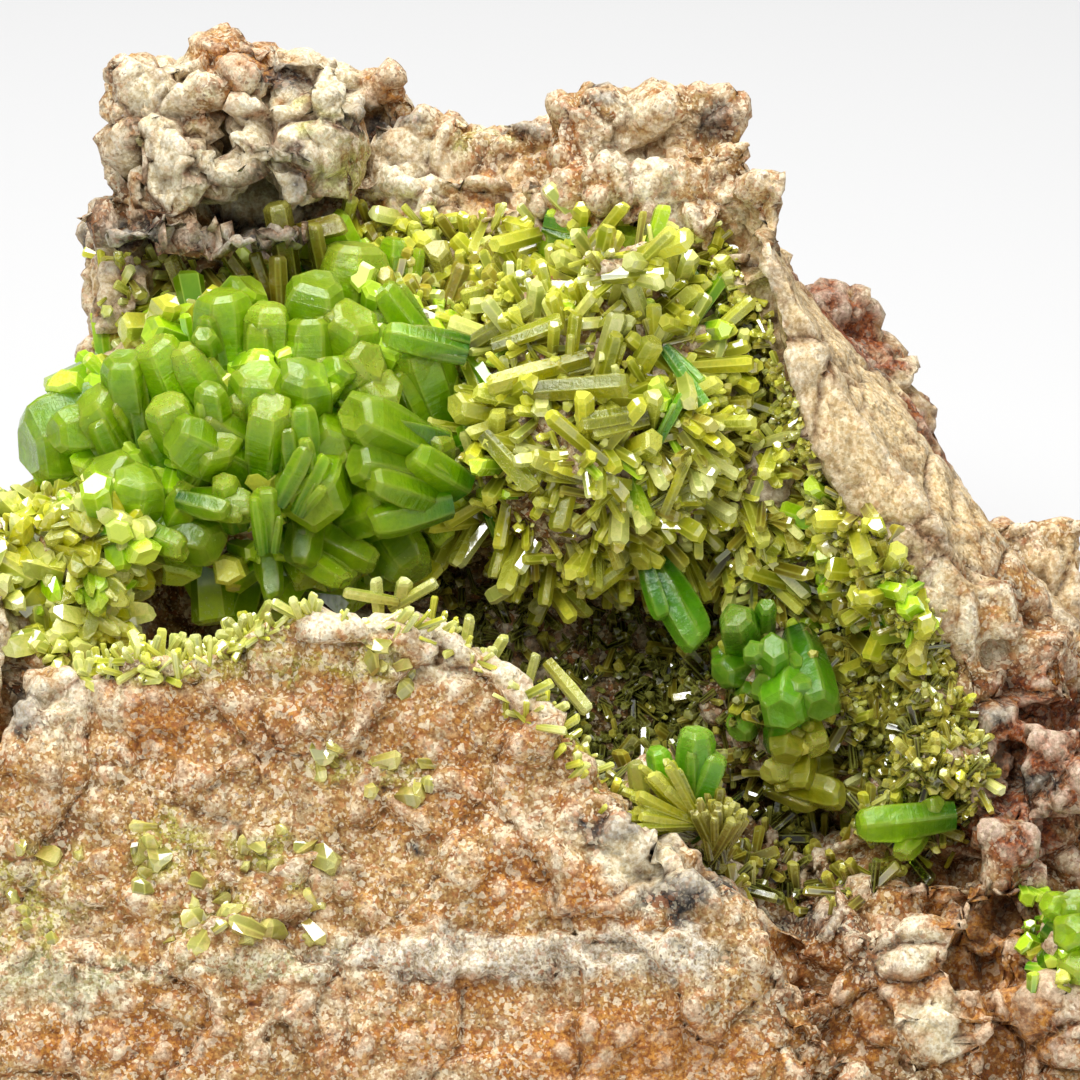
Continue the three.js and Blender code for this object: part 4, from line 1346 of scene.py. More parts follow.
def mark_facets(mesh: bpy.types.Mesh, crop: Crop, profile: Profile, section: np.ndarray) -> None:
    """Stores how far each face's corners lie from its left edge, its right edge and the tip, in mm.

    The end face counts as an edge at its rim only, and the foot lies far from all three.

    Args:
        mesh: the crystals' mesh.
        crop: the crystals.
        profile: their outline.
        section: (N, sides, 2) their corners across the axis.
    """
    count, sides = section.shape[:2]
    t, r = profile.along, profile.around
    width = np.linalg.norm(np.roll(section, -1, axis=1) - section, axis=2)
    width = width[:, None, :] * r[None, :, None] / MM
    low, high, none = width[:, :-1], width[:, 1:], np.zeros((count, len(t) - 1, sides))
    left = np.stack([none, low, high, none], axis=-1).reshape(count, -1)
    right = np.stack([low, none, none, high], axis=-1).reshape(count, -1)
    down = (1.0 - t)[None, :] * crop.lengths[:, None] / MM
    tall = np.stack([down[:, :-1], down[:, :-1], down[:, 1:], down[:, 1:]], axis=-1)
    tall = np.repeat(tall[:, :, None], sides, axis=2).reshape(count, -1)
    radius = np.repeat((0.4 * crop.widths * r[-1] / MM)[:, None], sides, axis=1)
    rim = np.stack([0 * radius, 0 * radius, radius], axis=-1).reshape(count, -1)
    foot = np.full((count, sides), 2.0)
    facet = np.stack([
        np.concatenate([left, rim, foot], axis=1), np.concatenate([right, rim, foot], axis=1),
        np.concatenate([tall, 0 * rim, foot + 9.0], axis=1),
    ], axis=-1)
    layer = mesh.attributes.new("facet", "FLOAT_VECTOR", "CORNER")
    layer.data.foreach_set("vector", facet.astype(np.float32).ravel())


def mark_sides(mesh: bpy.types.Mesh, shape: tuple[int, int, int], chance: np.random.Generator) -> None:
    """Stores a fraction for each side, and a higher one for the ends: each takes the light in its own way.

    Args:
        mesh: the crystals' mesh.
        shape: how many crystals, rings and sides.
        chance: where the fractions come from.
    """
    count, rings, sides = shape
    walls = np.repeat(np.tile(chance.random((count, sides)), (1, rings - 1)), 4, axis=1)
    ends = np.repeat(0.5 + 0.5 * chance.random((count, 1)), 4 * sides, axis=1)
    layer = mesh.attributes.new("side", "FLOAT", "CORNER")
    layer.data.foreach_set("value", np.concatenate([walls, ends], axis=1).astype(np.float32).ravel())


def mark_tints(mesh: bpy.types.Mesh, crop: Crop, along: np.ndarray, sides: int,
               chance: np.random.Generator) -> None:
    """Paints each crystal's colours, and its frosting: the foot's colour turns to the body's over the lower
    half, and to the tip's over the upper one as far as the crystal is frosted.

    Args:
        mesh: the crystals' mesh.
        crop: the crystals.
        along: (rings,) part of the length at each ring.
        sides: corners of each ring.
        chance: where each crystal's darkness comes from.
    """
    inks = np.array([[ink(*shade) for shade in habit.value] for habit in crop.habits])
    rings, share = len(along), np.append(along, 1.0)
    low, high = np.clip(share / 0.5, 0, 1)[None, :, None], fade(share, 0.55, 0.45)[None, :, None]
    body = inks[:, None, 0] * (1 - low) + inks[:, None, 1] * low
    tip = high * (0.25 + 0.6 * crop.frost[:, None, None])
    tone = (0.8 + 0.4 * chance.random(len(crop.tips)))[:, None, None]
    colour = (body * (1 - tip) + inks[:, None, 2] * tip) * tone
    spread = np.append(np.repeat(np.arange(rings), sides), rings)
    paint(mesh, "tint", colour[:, spread].reshape(-1, 3))
    paint(mesh, "frost", (crop.frost[:, None] * share[None] ** 3)[:, spread].reshape(-1))


def prisms(name: str, crop: Crop, profile: Profile, seed: int) -> bpy.types.Object:
    """All the crystals of a crop as one object: six-sided rings from foot to tip, closed by end faces.

    Args:
        name: the object's name.
        crop: the crystals.
        profile: their outline.
        seed: another seed gives other irregularities.
    Returns:
        The object.
    """
    chance = np.random.default_rng(seed)
    section = sections_of(crop, profile, chance)
    points = points_of(crop, profile, section, chance)
    count, sides = section.shape[:2]
    rings = len(profile.rings)
    loops, sizes = faces_of(rings, sides)
    loops = loops + np.arange(count)[:, None] * points.shape[1]
    made = mesh_object(name, points.reshape(-1, 3), loops.reshape(-1), np.tile(sizes, count))
    made.data.shade_flat()
    mark_facets(made.data, crop, profile, section)
    mark_sides(made.data, (count, rings, sides), chance)
    mark_tints(made.data, crop, profile.along, sides, chance)
    return made


@dataclass(frozen=True)
class CrystalFinish:
    """How the crystals take the light.

    Attributes:
        name: the material's name.
        roughness: of a clear face.
        clear: how much light passes straight through.
        glow: how much light wanders inside.
        depth: how far it wanders, in metres.
        striae: strength of the growth lines across the sides; 0 leaves the faces flat.
        grain: scale of the frosting, per mm.
        rim: width of the painted highlight along the edges, in mm.
        index: the index of refraction.
        uneven: how much darker some sides are than others, as painted shade.
    """

    name: str
    roughness: float
    clear: float
    glow: float
    depth: float
    striae: float
    grain: float
    rim: float
    index: float
    uneven: float

    def dress(self) -> bpy.types.Material:
        """The material.

        Returns:
            The material.
        """
        g = Graph(self.name)
        p = g.place()
        tint = g.painted("tint", "Color")
        facet = g.node("SeparateXYZ", Vector=g.painted("facet", "Vector"))
        edge = g.math("MINIMUM", facet.outputs[0], facet.outputs[1])
        # painted highlight along each face's edges
        edge = g.step(edge, 0.0, self.rim, 1.0, 0.0)
        top = g.step(facet.outputs[2], 0.0, self.rim * 4.0, 1.0, 0.0)
        # clouds inside the crystal, frosting outside it
        cloud = g.noise(p, 1.1 * self.grain, 4.0, 0.65)
        frost = g.math("ADD", g.painted("frost"), g.math("MULTIPLY", g.math("SUBTRACT", cloud, 0.5), 1.9))
        frost = g.step(frost, 0.3, 0.85)
        cloudy = g.mix(1.0, tint, (0.55, 0.7, 0.3), "MULTIPLY")
        colour = g.mix(g.step(cloud, 0.38, 0.66, 0.0, 0.6), tint, cloudy)
        # painted shade darkens some sides, frost and end faces are paler, and the edges get a painted highlight
        deep = g.step(g.painted("side"), 0.0, 0.75, 1.0, 0.0)
        shaded = g.mix(1.0, tint, (0.38, 0.5, 0.2), "MULTIPLY")
        colour = g.mix(g.math("MULTIPLY", deep, self.uneven), colour, shaded)
        light = g.mix(0.42, tint, ink(238, 246, 116))
        for part, most in ((frost, 0.5), (edge, 0.6), (top, 0.25)):
            colour = g.mix(g.math("MULTIPLY", part, most), colour, light)
        looks = {
            "Base_Color": colour, "IOR": self.index, "Transmission_Weight": self.clear,
            "Roughness": g.math("ADD", self.roughness, g.math("MULTIPLY", frost, 0.3)),
        }
        if self.striae:
            lines = g.node("TexNoise", noise_dimensions="1D", W=facet.outputs[2], Scale=2.6, Detail=3.0)
            height = g.math("MULTIPLY", lines.outputs["Fac"], self.striae)
            looks["Normal"] = g.bump(g.math("ADD", height, g.math("MULTIPLY", cloud, 0.9)), 0.0002)
        if self.glow:
            looks["Subsurface_Weight"] = self.glow
            looks["Subsurface_Radius"] = (0.6, 1.0, 0.15)
            looks["Subsurface_Scale"] = self.depth
        return g.finish(**looks)


STOUT_FINISH = CrystalFinish(
    "stout pyromorphite", roughness=0.06, clear=0.6, glow=0.35, depth=0.0016, striae=0.35, grain=1.0,
    rim=0.35, index=1.55, uneven=0.4,
)
SLIM_FINISH = CrystalFinish(
    "slender pyromorphite", roughness=0.05, clear=0.3, glow=0.0, depth=0.0, striae=0.2, grain=1.6,
    rim=0.22, index=1.9, uneven=0.75,
)
FINE_FINISH = CrystalFinish(
    "fine pyromorphite", roughness=0.08, clear=0.0, glow=0.0, depth=0.0, striae=0.0, grain=1.8,
    rim=0.2, index=2.0, uneven=0.75,
)


def settle(piece: bpy.types.Object, finish: CrystalFinish, slot: str, *nodes: str) -> bpy.types.Object:
    """Gives a piece its finish, and its place in the frame.

    Args:
        piece: the object.
        finish: its finish.
        slot: the record's material slot; not used.
        nodes: the CAD nodes that it stands for.
    Returns:
        The piece.
    """
    made = bpy.data.materials.get(finish.name) or finish.dress()
    piece.data.materials.append(made)
    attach(piece, "root")
    if nodes:
        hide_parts(*nodes)
    return piece


STOUT_DOME = Dome((25, 44), (24, 19), -6, 12)
STOUT_ROWS = [
    # the large lime crystal at the left end, and the frosted ones below it
    [2.8, 45, 0, 197, 15, 11, 8.6], [10.4, 46.4, 1, 120, 35, 6, 5.2], [14, 47.4, 1, 75, 35, 6, 5],
    [9, 39.6, 0, 120, 30, 6, 5], [19.2, 49.4, 0.6, 60, 45, 5, 3.4],
    # the barrels along the upper left
    [12.4, 35.6, 0.6, 97, 25, 8, 4.4], [15.2, 34.2, 0.4, 115, 22, 9, 5.4], [18, 34.6, 0, 122, 12, 8, 3.6],
    [22.4, 29.2, 1.4, 92, 20, 9, 5.2], [20.3, 33.4, 1, 100, 60, 5, 2.7], [26.8, 30.4, 0.4, 88, 14, 8, 4.8],
    [31, 31.8, 0.4, 88, 12, 8, 4.8], [31.8, 27.8, 2.4, 80, 30, 8, 6.2], [35.6, 31.4, 2, 60, 35, 7, 5.2],
    [37.2, 36, 1.6, 40, 40, 7, 5],
    # the middle
    [25.6, 37, 0.6, 96, 42, 8, 5.4], [30.2, 36.8, 0.6, 84, 42, 8, 5.4], [21, 38.6, 1, 95, 25, 6, 3],
    [27, 40.2, 1.6, 84, 36, 7, 4.4], [17.2, 43.4, 1.2, 152, 32, 9, 5.6], [16.4, 40, 0.2, 110, 35, 6, 4.6],
    [30.3, 40.6, 1.6, 92, 16, 6, 2.5], [30.8, 44.8, 2, 62, 12, 5, 1.9], [32.6, 45.6, 1.8, 62, 12, 5, 1.8],
    [22.4, 47.8, 0.8, 100, 42, 5, 2.6], [22, 44, 0.2, 60, 50, 6, 4.6],
    # the right
    [38.6, 38.4, 1.4, 45, 45, 6, 4.6], [35.2, 41.6, 1.8, 155, 36, 9, 5.4], [43.4, 43, 2.6, 80, 36, 6, 4.2],
    [40.6, 45.2, 2, 150, 32, 6, 4.2], [35.4, 46.4, 1.6, 168, 40, 9, 4.8], [39, 50, 1.4, 20, 50, 7, 5],
    # the lower part
    [31.2, 50.4, 1.8, 270, 56, 9, 7], [37, 52.4, 1.6, 195, 16, 7, 3.4], [41.6, 57.4, 0.6, 302, 25, 8, 5.4],
    [21.6, 54.6, 0.6, 342, 22, 7, 4.6], [25.6, 50.8, 1.2, 356, 12, 6, 3.4],
    [26.6, 48.8, 1.8, 90, 20, 5, 2.4],
    [26.6, 53.6, 1.4, 268, 32, 6, 2.4], [27.4, 60, 1, 278, 18, 7, 2.4], [37.6, 56.4, 0, 334, 6, 11, 3.8],
    [30, 56.6, 0, 262, 20, 7, 3.8], [34, 59, 0, 280, 20, 6, 3.4],
    # behind, towards the gap
    [35.6, 24.4, 1, 82, 16, 11, 6.4], [39.4, 23.8, 0.6, 86, 10, 9, 3.4], [38.2, 28.8, 1.8, 128, 10, 7, 2.8],
    [38.4, 33.4, 2, 166, 10, 7, 3.2], [41.4, 34, 0, 112, 22, 9, 6], [44.4, 37.4, -0.6, 60, 25, 8, 5],
]
NEEDLE_DOME = Dome((59, 43), (21, 18), -11, 15)
NEEDLE_ROWS = [
    # along the top
    [55.8, 22.4, 5.4, 92, 14, 9, 5.4, Habit.LIME], [63.6, 24, 5, 346, 6, 8, 3.6, Habit.LIME],
    [64.4, 22.8, 2.4, 122, 20, 6, 3.2], [67.4, 24, 2, 62, 30, 6, 3.2], [64.5, 29.5, 2, 356, 6, 6, 2.4],
    [69.6, 30, 2, 20, 30, 6, 3.2],
    # the upper left
    [53.4, 30.6, 2, 32, 6, 7, 2.6], [56.2, 32, 2.4, 20, 10, 6, 2.6], [57.6, 31.4, 3, 84, 8, 6, 1.8],
    [50.4, 26.8, 2.4, 160, 12, 5, 2], [46.2, 29.8, 2.6, 196, 8, 6, 2.8], [45.4, 33, 2.4, 120, 30, 5, 3.6],
    [69.6, 31.6, 3, 64, 6, 6, 1.7], [61.6, 33.4, 2.4, 75, 20, 6, 2.4], [65.4, 34, 2, 60, 30, 6, 3],
    # the middle
    [48.8, 38.8, 2.4, 196, 8, 9, 2.8], [62.8, 38.2, 2, 4, 12, 9, 3.4], [45.4, 40.6, 2.6, 168, 26, 7, 3.8],
    [68.4, 39.4, 2, 62, 12, 4, 1.8, Habit.EMERALD], [70.6, 40.8, 1.4, 305, 8, 6, 2.2, Habit.EMERALD],
    [53.4, 48.8, 1.6, 312, 12, 6, 2.6], [53, 45.8, 2, 160, 36, 5, 3], [55.8, 53, 1.4, 256, 16, 7, 2.5],
    [68.8, 45.6, 2, 68, 20, 5, 1.7], [70.8, 47.6, 2, 28, 14, 5, 1.6], [70.2, 49.8, 2, 2, 22, 6, 2.6],
    [64, 56.4, 2, 268, 52, 6, 3.2], [58, 42.4, 2.4, 190, 30, 6, 3.4], [65.6, 44, 1.6, 20, 50, 5, 3.4],
    # hanging under it
    [58.6, 59.4, 3, 218, 12, 7, 2.1], [69.3, 60.6, 4, 304, 12, 6, 1.8], [49.4, 57.8, 3, 255, 12, 6, 2],
    [54.4, 60.6, 3, 262, 16, 7, 2.2], [70.8, 60.2, 4, 294, 16, 6, 1.8], [76, 59.6, 6, 262, 14, 8, 2.5],
    [77.8, 62.6, 7, 268, 14, 8, 2.5], [62.6, 60.4, 2.4, 272, 20, 6, 2.2],
]
EMERALD_ROWS = [
    [73.6, 61.6, -1, 112, 62, 9, 4], [77.4, 64.6, 0, 90, 60, 9, 3.8], [75.2, 65, 0, 150, 60, 7, 2.6],
    [79.6, 66, -1, 60, 60, 7, 2.6], [78.3, 71.5, 1, 250, 55, 10, 5], [82.2, 71, 0, 285, 46, 9, 4.4],
    [80, 67.6, 0, 80, 40, 7, 4], [76, 68.6, -1.4, 170, 40, 7, 4], [70, 64.4, -5, 300, 10, 8, 3.4],
    [72, 67.4, -4, 200, 50, 6, 3.2], [74.4, 70, -4.4, 220, 50, 6, 3.2], [73.6, 73.4, -5.4, 240, 40, 6, 3],
    [78.6, 76, -2, 262, 40, 7, 3.8, Habit.YELLOW], [76.6, 77.4, -3, 190, 30, 6, 2.6, Habit.YELLOW],
    [82, 75, -2.6, 300, 40, 6, 3, Habit.YELLOW], [84.2, 79.6, -2.4, 345, 30, 7, 2.9, Habit.YELLOW],
    [80, 79, -3, 265, 35, 6, 3.2, Habit.YELLOW],
]
LEDGE_ROWS = [
    [69.6, 72.9, 11, 88, 22, 8, 3.4], [71.6, 75.4, 10.4, 66, 16, 7, 2.8], [65.6, 74.8, 11, 104, 22, 6, 2.4],
    [63.6, 76.2, 12, 100, 24, 5, 1.7, Habit.PALE], [72, 80.4, 10.6, 40, 30, 5, 2.2],
]
LEDGE_SHEAVES = [
    ([69.6, 82.2, 10.6], (118, 196), (8, 40), 34, 7.6, 1.1, Habit.YELLOW, 61),
    ([71.4, 86.0, 9.6], (62, 112), (8, 44), 26, 6.6, 1.0, Habit.OLIVE, 62),
    ([69.0, 83.0, 9.8], (150, 186), (0, 24), 22, 5.4, 1.0, Habit.OLIVE, 63),
]
FOOT_ROWS = [
    [27.4, 20.4, -6.6, 100, 25, 7, 3.7], [34.4, 22.4, -8, 12, 12, 7, 3], [31.4, 22.4, -7, 100, 30, 5, 2.6],
    [27.8, 25.6, -7.6, 92, 16, 5, 2.2], [22.4, 24.8, -9, 126, 6, 7, 2.2], [17, 25.6, -10.4, 110, 6, 6, 2.2],
    [25.4, 25.2, -9, 110, 10, 6, 2], [16.8, 30, -10, 160, 10, 6, 2.4], [20, 29, -9.6, 60, 20, 5, 2.4],
    [43.6, 24.8, -10, 110, 40, 6, 3.8], [46.4, 26.4, -9.6, 70, 12, 7, 2.7],
    [49.6, 24, -10.6, 80, 20, 6, 2.4],
    [47.6, 29, -9, 30, 40, 5, 3],
]
SHOULDER_ROWS = [
    [3.6, 50.4, 3.4, 150, 20, 5, 2.4], [6.2, 49.6, 4.4, 105, 30, 5, 2.8], [9.6, 50.6, 5, 60, 20, 5, 2.4],
    [12.6, 53.4, 5, 20, 14, 6, 2.6], [9.2, 53.4, 6.6, 300, 40, 5, 3.2], [4.6, 54, 6, 200, 30, 5, 2.6],
    [11.4, 57, 6.2, 340, 24, 6, 3], [7.4, 57.4, 7.4, 250, 50, 5, 3], [12.8, 60.4, 6, 320, 20, 5, 2.8],
    [9.6, 61.2, 7, 280, 44, 5, 3.4, Habit.LIME], [5.8, 60.4, 5.6, 220, 30, 5, 2.6],
    [8.4, 64, 5.4, 255, 24, 5, 2.6], [13.2, 63.6, 4.8, 330, 16, 4, 2.4],
]
LYING_ROWS = [
    [85.8, 82.6, 3.6, 186, 12, 8.4, 3.6], [94, 80.4, 3, 40, 40, 4, 2.4], [90, 85.6, 3.4, 230, 40, 4, 2.2],
]
SIDE_ROWS = [
    [104.6, 90.2, 11, 160, 24, 6, 3], [107.4, 89.6, 11.6, 100, 30, 6, 3.4], [106.4, 93.6, 14, 190, 50, 6, 4],
    [109.8, 93, 13, 40, 40, 6, 3.6], [106.8, 97.6, 13.4, 230, 30, 6, 3.6],
    [110.4, 97.4, 12.6, 320, 30, 6, 3.4],
]
LEFT_RIM_ROWS = [
    [11.8, 64.2, 14, 110, 20, 3.6, 1.4], [13.8, 63.8, 14, 80, 30, 3.6, 1.4],
    [15.8, 64.2, 14, 50, 30, 3.6, 1.5],
    [18.6, 64, 14, 110, 30, 3.2, 1.5], [22.6, 62, 14.4, 130, 20, 4, 1.5], [24.4, 61.6, 14.4, 75, 25, 4, 1.5],
    [27, 60.2, 14, 60, 30, 4, 1.5],
]
RIGHT_RIM_ROWS = [
    [37.6, 57.8, 9, 94, 20, 4, 2], [40.4, 58, 9.6, 80, 40, 4, 2.2], [43.6, 58.2, 9.6, 30, 16, 4, 1.6],
    [34.4, 59.2, 10, 170, 12, 4, 1.6], [47, 61.6, 11, 80, 20, 4, 1.6], [50.4, 63.6, 12, 60, 20, 4, 1.6],
    [53.6, 65.4, 12, 75, 20, 4, 1.5], [58.8, 71.2, 12.4, 310, 12, 5, 1.9], [57.6, 74, 12, 78, 16, 3.6, 1.5],
    [60.4, 76.8, 12.4, 352, 20, 4, 2],
]


@dataclass(frozen=True)
class Plot:
    """A stretch of the rock that is sown with small crystals.

    Attributes:
        outline: its outline on the sheet in mm.
        reach: the lowest and highest out that it covers.
        count: how many crystals.
        length, width: lowest and highest in mm.
        habits: what grows in it, with a weight each.
        wild: how far the crystals lean from the surface's normal; 0 stand straight.
        pull: a direction [right, up, towards the eye] that they lean to.
        heart: u and v that they spread out from.
        spread: how much they do.
        upright: how much they stand along the surface's normal.
        sunk: how much of each crystal's length is in the rock.
    """

    outline: tuple
    reach: tuple[float, float]
    count: int
    length: tuple[float, float]
    width: tuple[float, float]
    habits: tuple
    wild: float = 0.7
    pull: tuple[float, float, float] = (0.0, 0.0, 0.1)
    heart: tuple[float, float] = (58.0, 42.0)
    spread: float = 0.0
    upright: float = 0.7
    sunk: float = 0.22

    def covers(self, spots: np.ndarray) -> np.ndarray:
        """Which spots lie in the plot: a line from them to the right crosses the outline an odd number of
        times.

        Args:
            spots: (N, 3) u, v and out.
        Returns:
            (N,) booleans.
        """
        u, v, out = spots.T
        inside = np.zeros(len(spots), bool)
        for (u0, v0), (u1, v1) in zip(self.outline, self.outline[1:] + self.outline[:1]):
            crosses = (v0 > v) != (v1 > v)
            at = u0 + (v - v0) / (v1 - v0 if v1 != v0 else 1e-9) * (u1 - u0)
            inside ^= crosses & (u < at)
        return inside & (out > self.reach[0]) & (out < self.reach[1])


@dataclass
class Soil:
    """The faces of the finished rock, to sow crystals on.

    Attributes:
        corners: (N, 3, 3) the three corners of each triangle, in metres.
        normals: (N, 3) its normal.
        areas: (N,) its area in square metres.
    """

    corners: np.ndarray
    normals: np.ndarray
    areas: np.ndarray

    @classmethod
    def of(cls, rock: bpy.types.Object) -> "Soil":
        """Reads the rock.

        Args:
            rock: the finished rock.
        Returns:
            The soil.
        """
        mesh = rock.data
        mesh.calc_loop_triangles()
        index = np.empty(len(mesh.loop_triangles) * 3, np.int32)
        mesh.loop_triangles.foreach_get("vertices", index)
        corners = vertices_of(mesh)[index.reshape(-1, 3)]
        cross = np.cross(corners[:, 1] - corners[:, 0], corners[:, 2] - corners[:, 0])
        size = np.linalg.norm(cross, axis=1)
        return cls(corners, cross / np.maximum(size, 1e-15)[:, None], size / 2)

    def sow(self, plot: Plot, seed: int) -> Crop:
        """Small crystals on a plot, standing out from the rock at random leans.

        Triangles are drawn by their area and by how far they face the eye. A crystal's axis is the normal
        times upright, plus the pull, the spread from the heart and a random lean.

        Args:
            plot: where and what.
            seed: another seed gives other crystals.
        Returns:
            The crop.
        """
        chance = np.random.default_rng(seed)
        spots = SHEET.read(self.corners.mean(axis=1))
        facing = self.normals @ SHEET.axes()[2]
        weight = self.areas * plot.covers(spots) * np.clip(facing + 0.75, 0.0, 1.0)  # few behind
        chosen = chance.choice(len(weight), plot.count, p=weight / weight.sum())
        share = chance.dirichlet((1, 1, 1), plot.count)
        seats = np.einsum("nk,nkc->nc", share, self.corners[chosen])
        away = (spots[chosen, :2] - np.array(plot.heart)) * np.array([1.0, -1.0])
        away = np.concatenate([unit(away), np.zeros((plot.count, 1))], axis=1)
        pull = (np.array(plot.pull) + plot.spread * away) @ SHEET.axes()
        lean = plot.wild * chance.normal(size=(plot.count, 3)) * 0.6
        axes = unit(self.normals[chosen] * plot.upright + pull + lean)
        rise = np.einsum("nc,nc->n", axes, self.normals[chosen])  # none points into the rock
        axes = unit(axes + self.normals[chosen] * np.clip(0.25 - rise, 0.0, 1.0)[:, None])
        size = chance.random(plot.count) ** 1.6  # more short ones than long ones
        lengths = (plot.length[0] + (plot.length[1] - plot.length[0]) * size) * MM
        slim = np.clip(size + 0.3 * chance.normal(size=plot.count), 0.0, 1.0)
        widths = (plot.width[0] + (plot.width[1] - plot.width[0]) * slim) * MM
        weights = np.array([w for _, w in plot.habits], float)
        picks = chance.choice(len(plot.habits), plot.count, p=weights / weights.sum())
        habits = [plot.habits[k][0] for k in picks]
        tips = seats + axes * (lengths * (1.0 - plot.sunk))[:, None]
        return Crop(tips, axes, lengths, widths, habits, chance.random(plot.count) ** 1.5)


# one letter for each habit, for the tables of plots
Y, O, L, E, P, H = Habit.YELLOW, Habit.OLIVE, Habit.LIME, Habit.EMERALD, Habit.PALE, Habit.SHADE
NEEDLE_PLOTS = [
    Plot(((46, 30), (50, 24), (62, 22), (72, 24), (76, 34), (70, 48), (56, 58), (47, 58), (45, 44)),
         (-14, 20), 360, (4.0, 8.0), (1.0, 2.1), ((Y, 6), (P, 3), (L, 1)), 1.2, spread=0.6, upright=0.4),
    Plot(((56, 56), (64, 44), (72, 34), (77, 42), (81, 52), (80, 62), (70, 63), (58, 62), (48, 62)),
         (-18, 20), 320, (3.4, 7.0), (0.8, 1.7), ((Y, 4), (P, 2), (O, 3)), 1.1, (0, -0.3, 0.1),
         spread=0.7, upright=0.4),
    Plot(((44, 28), (72, 22), (78, 40), (81, 60), (60, 63), (46, 60)), (-18, 20),
         640, (2.0, 4.4), (0.5, 1.1), ((Y, 3), (P, 2), (O, 3)), 1.1, upright=0.5),
]
CRUST_PLOTS = [
    Plot(((72, 24), (76, 30), (79.6, 40), (82.6, 48), (88, 54), (94.6, 61), (92, 65), (84, 56), (79, 48),
          (75, 38), (71, 28)), (-16, 3.4), 1000, (0.8, 2.0), (0.35, 0.8), ((O, 4), (Y, 1), (P, 2)), 1.2, upright=0.5),
    Plot(((71, 27), (74, 30), (78, 41), (80, 48), (86, 52), (91, 58), (94, 64), (97, 71), (99, 78), (95, 84),
          (86, 84), (82, 60), (79, 46), (74, 36)), (-26, 8), 800, (1.6, 4.4), (0.6, 1.3),
         ((O, 7), (Y, 1), (H, 3), (P, 1)), 1.1, upright=0.5),
    Plot(((84, 62), (92, 60), (97, 70), (99, 78), (96, 84), (88, 82), (84, 72)), (-24, 8),
         1100, (0.9, 2.2), (0.4, 0.9), ((O, 5), (H, 1), (P, 1)), 1.2, upright=0.5),
    Plot(((60, 64), (72, 62), (84, 60), (94, 72), (95, 86), (84, 92), (70, 88), (60, 80)), (-26, 6),
         760, (1.8, 4.4), (0.6, 1.5), ((O, 5), (H, 5), (Y, 1)), 1.1, upright=0.5),
    Plot(((42, 56), (60, 60), (72, 62), (70, 78), (60, 82), (44, 72)), (-30, 2),
         620, (1.4, 3.4), (0.5, 1.3), ((H, 6), (O, 1)), 0.9),
    Plot(((78, 52), (86, 50), (93, 60), (92, 68), (80, 64)), (-24, 8), 130, (3.0, 5.6), (1.2, 2.6),
         ((Y, 4), (O, 2), (L, 2)), 0.9),
]
STOUT_PLOTS = [
    Plot(((4, 42), (12, 34), (24, 27), (36, 24), (46, 30), (48, 46), (44, 57), (28, 59), (12, 55)), (-18, 8),
         360, (2.6, 7.0), (1.6, 4.2), ((L, 6), (Y, 1)), 1.0, upright=0.6),
]
GAP_PLOTS = [
    Plot(((10, 25.6), (16, 25.4), (17, 34), (10.4, 34)), (-26, 4),
         60, (1.2, 2.8), (0.6, 1.3), ((P, 3), (Y, 2), (O, 1)), 1.1),
    Plot(((16, 26.4), (31, 26), (36, 21), (54, 22), (52, 30), (46, 36), (36, 28), (16, 34)), (-24, -4),
         420, (2.0, 4.8), (0.7, 1.9), ((O, 4), (P, 2), (Y, 2)), 0.8),
]
SHOULDER_PLOTS = [
    Plot(((-1, 50), (11, 48), (15, 54), (14, 60), (12, 66), (5, 67), (0, 60)), (-12, 16),
         330, (2.2, 4.8), (1.2, 2.8), ((P, 6), (Y, 4), (L, 1)), 1.4, upright=0.4),
]
RIM_PLOTS = [
    Plot(((8, 64), (18, 62), (30, 57), (32, 61), (24, 65), (18, 68), (8, 68)), (6, 24),
         220, (1.4, 3.8), (0.4, 1.1), ((P, 4), (Y, 2)), 1.3, (0, 0.4, 0.2)),
    Plot(((33, 58), (46, 58), (54, 64), (58, 70), (63, 78), (60, 82), (55, 75), (46, 66), (34, 62)), (4, 24),
         120, (1.2, 3.2), (0.4, 1.0), ((P, 3), (Y, 3)), 1.3, (0.4, 0.5, 0.2)),
]
STUB_PLOTS = [  # flattened crystals that lie on the slab's face
    Plot(outline, (4, 30), count, length, (1.2, 2.6), ((Habit.STRAW, 1),), wild, upright=0.1, sunk=0.62)
    for outline, count, length, wild in (
        (((13, 82), (20, 82), (20, 89), (13, 89)), 8, (1.6, 3.4), 0.9),
        (((22, 83), (29, 82), (29, 87), (22, 87)), 6, (1.6, 3.6), 0.9),
        (((29, 75), (36, 75), (36, 80), (29, 80)), 6, (1.6, 3.2), 0.9),
        (((37, 75), (43, 75), (43, 80), (37, 80)), 7, (1.4, 3.0), 0.9),
        (((17, 88), (24, 87), (26, 96), (17, 96)), 10, (1.6, 4.0), 0.8),
        (((34, 63), (41, 63), (41, 69), (34, 69)), 9, (1.6, 3.0), 0.9),
        (((26, 86), (34, 84), (36, 95), (26, 95)), 9, (1.4, 3.2), 0.9),
        (((1, 84), (9, 84), (9, 96), (1, 96)), 7, (1.6, 3.6), 0.9),
    )
]
SIDE_PLOTS = [
    Plot(((102, 86), (112, 86), (112, 100), (103, 99)), (2, 16), 60, (1.4, 3.4), (1.0, 2.2),
         ((L, 3), (Y, 1)), 0.7),
]
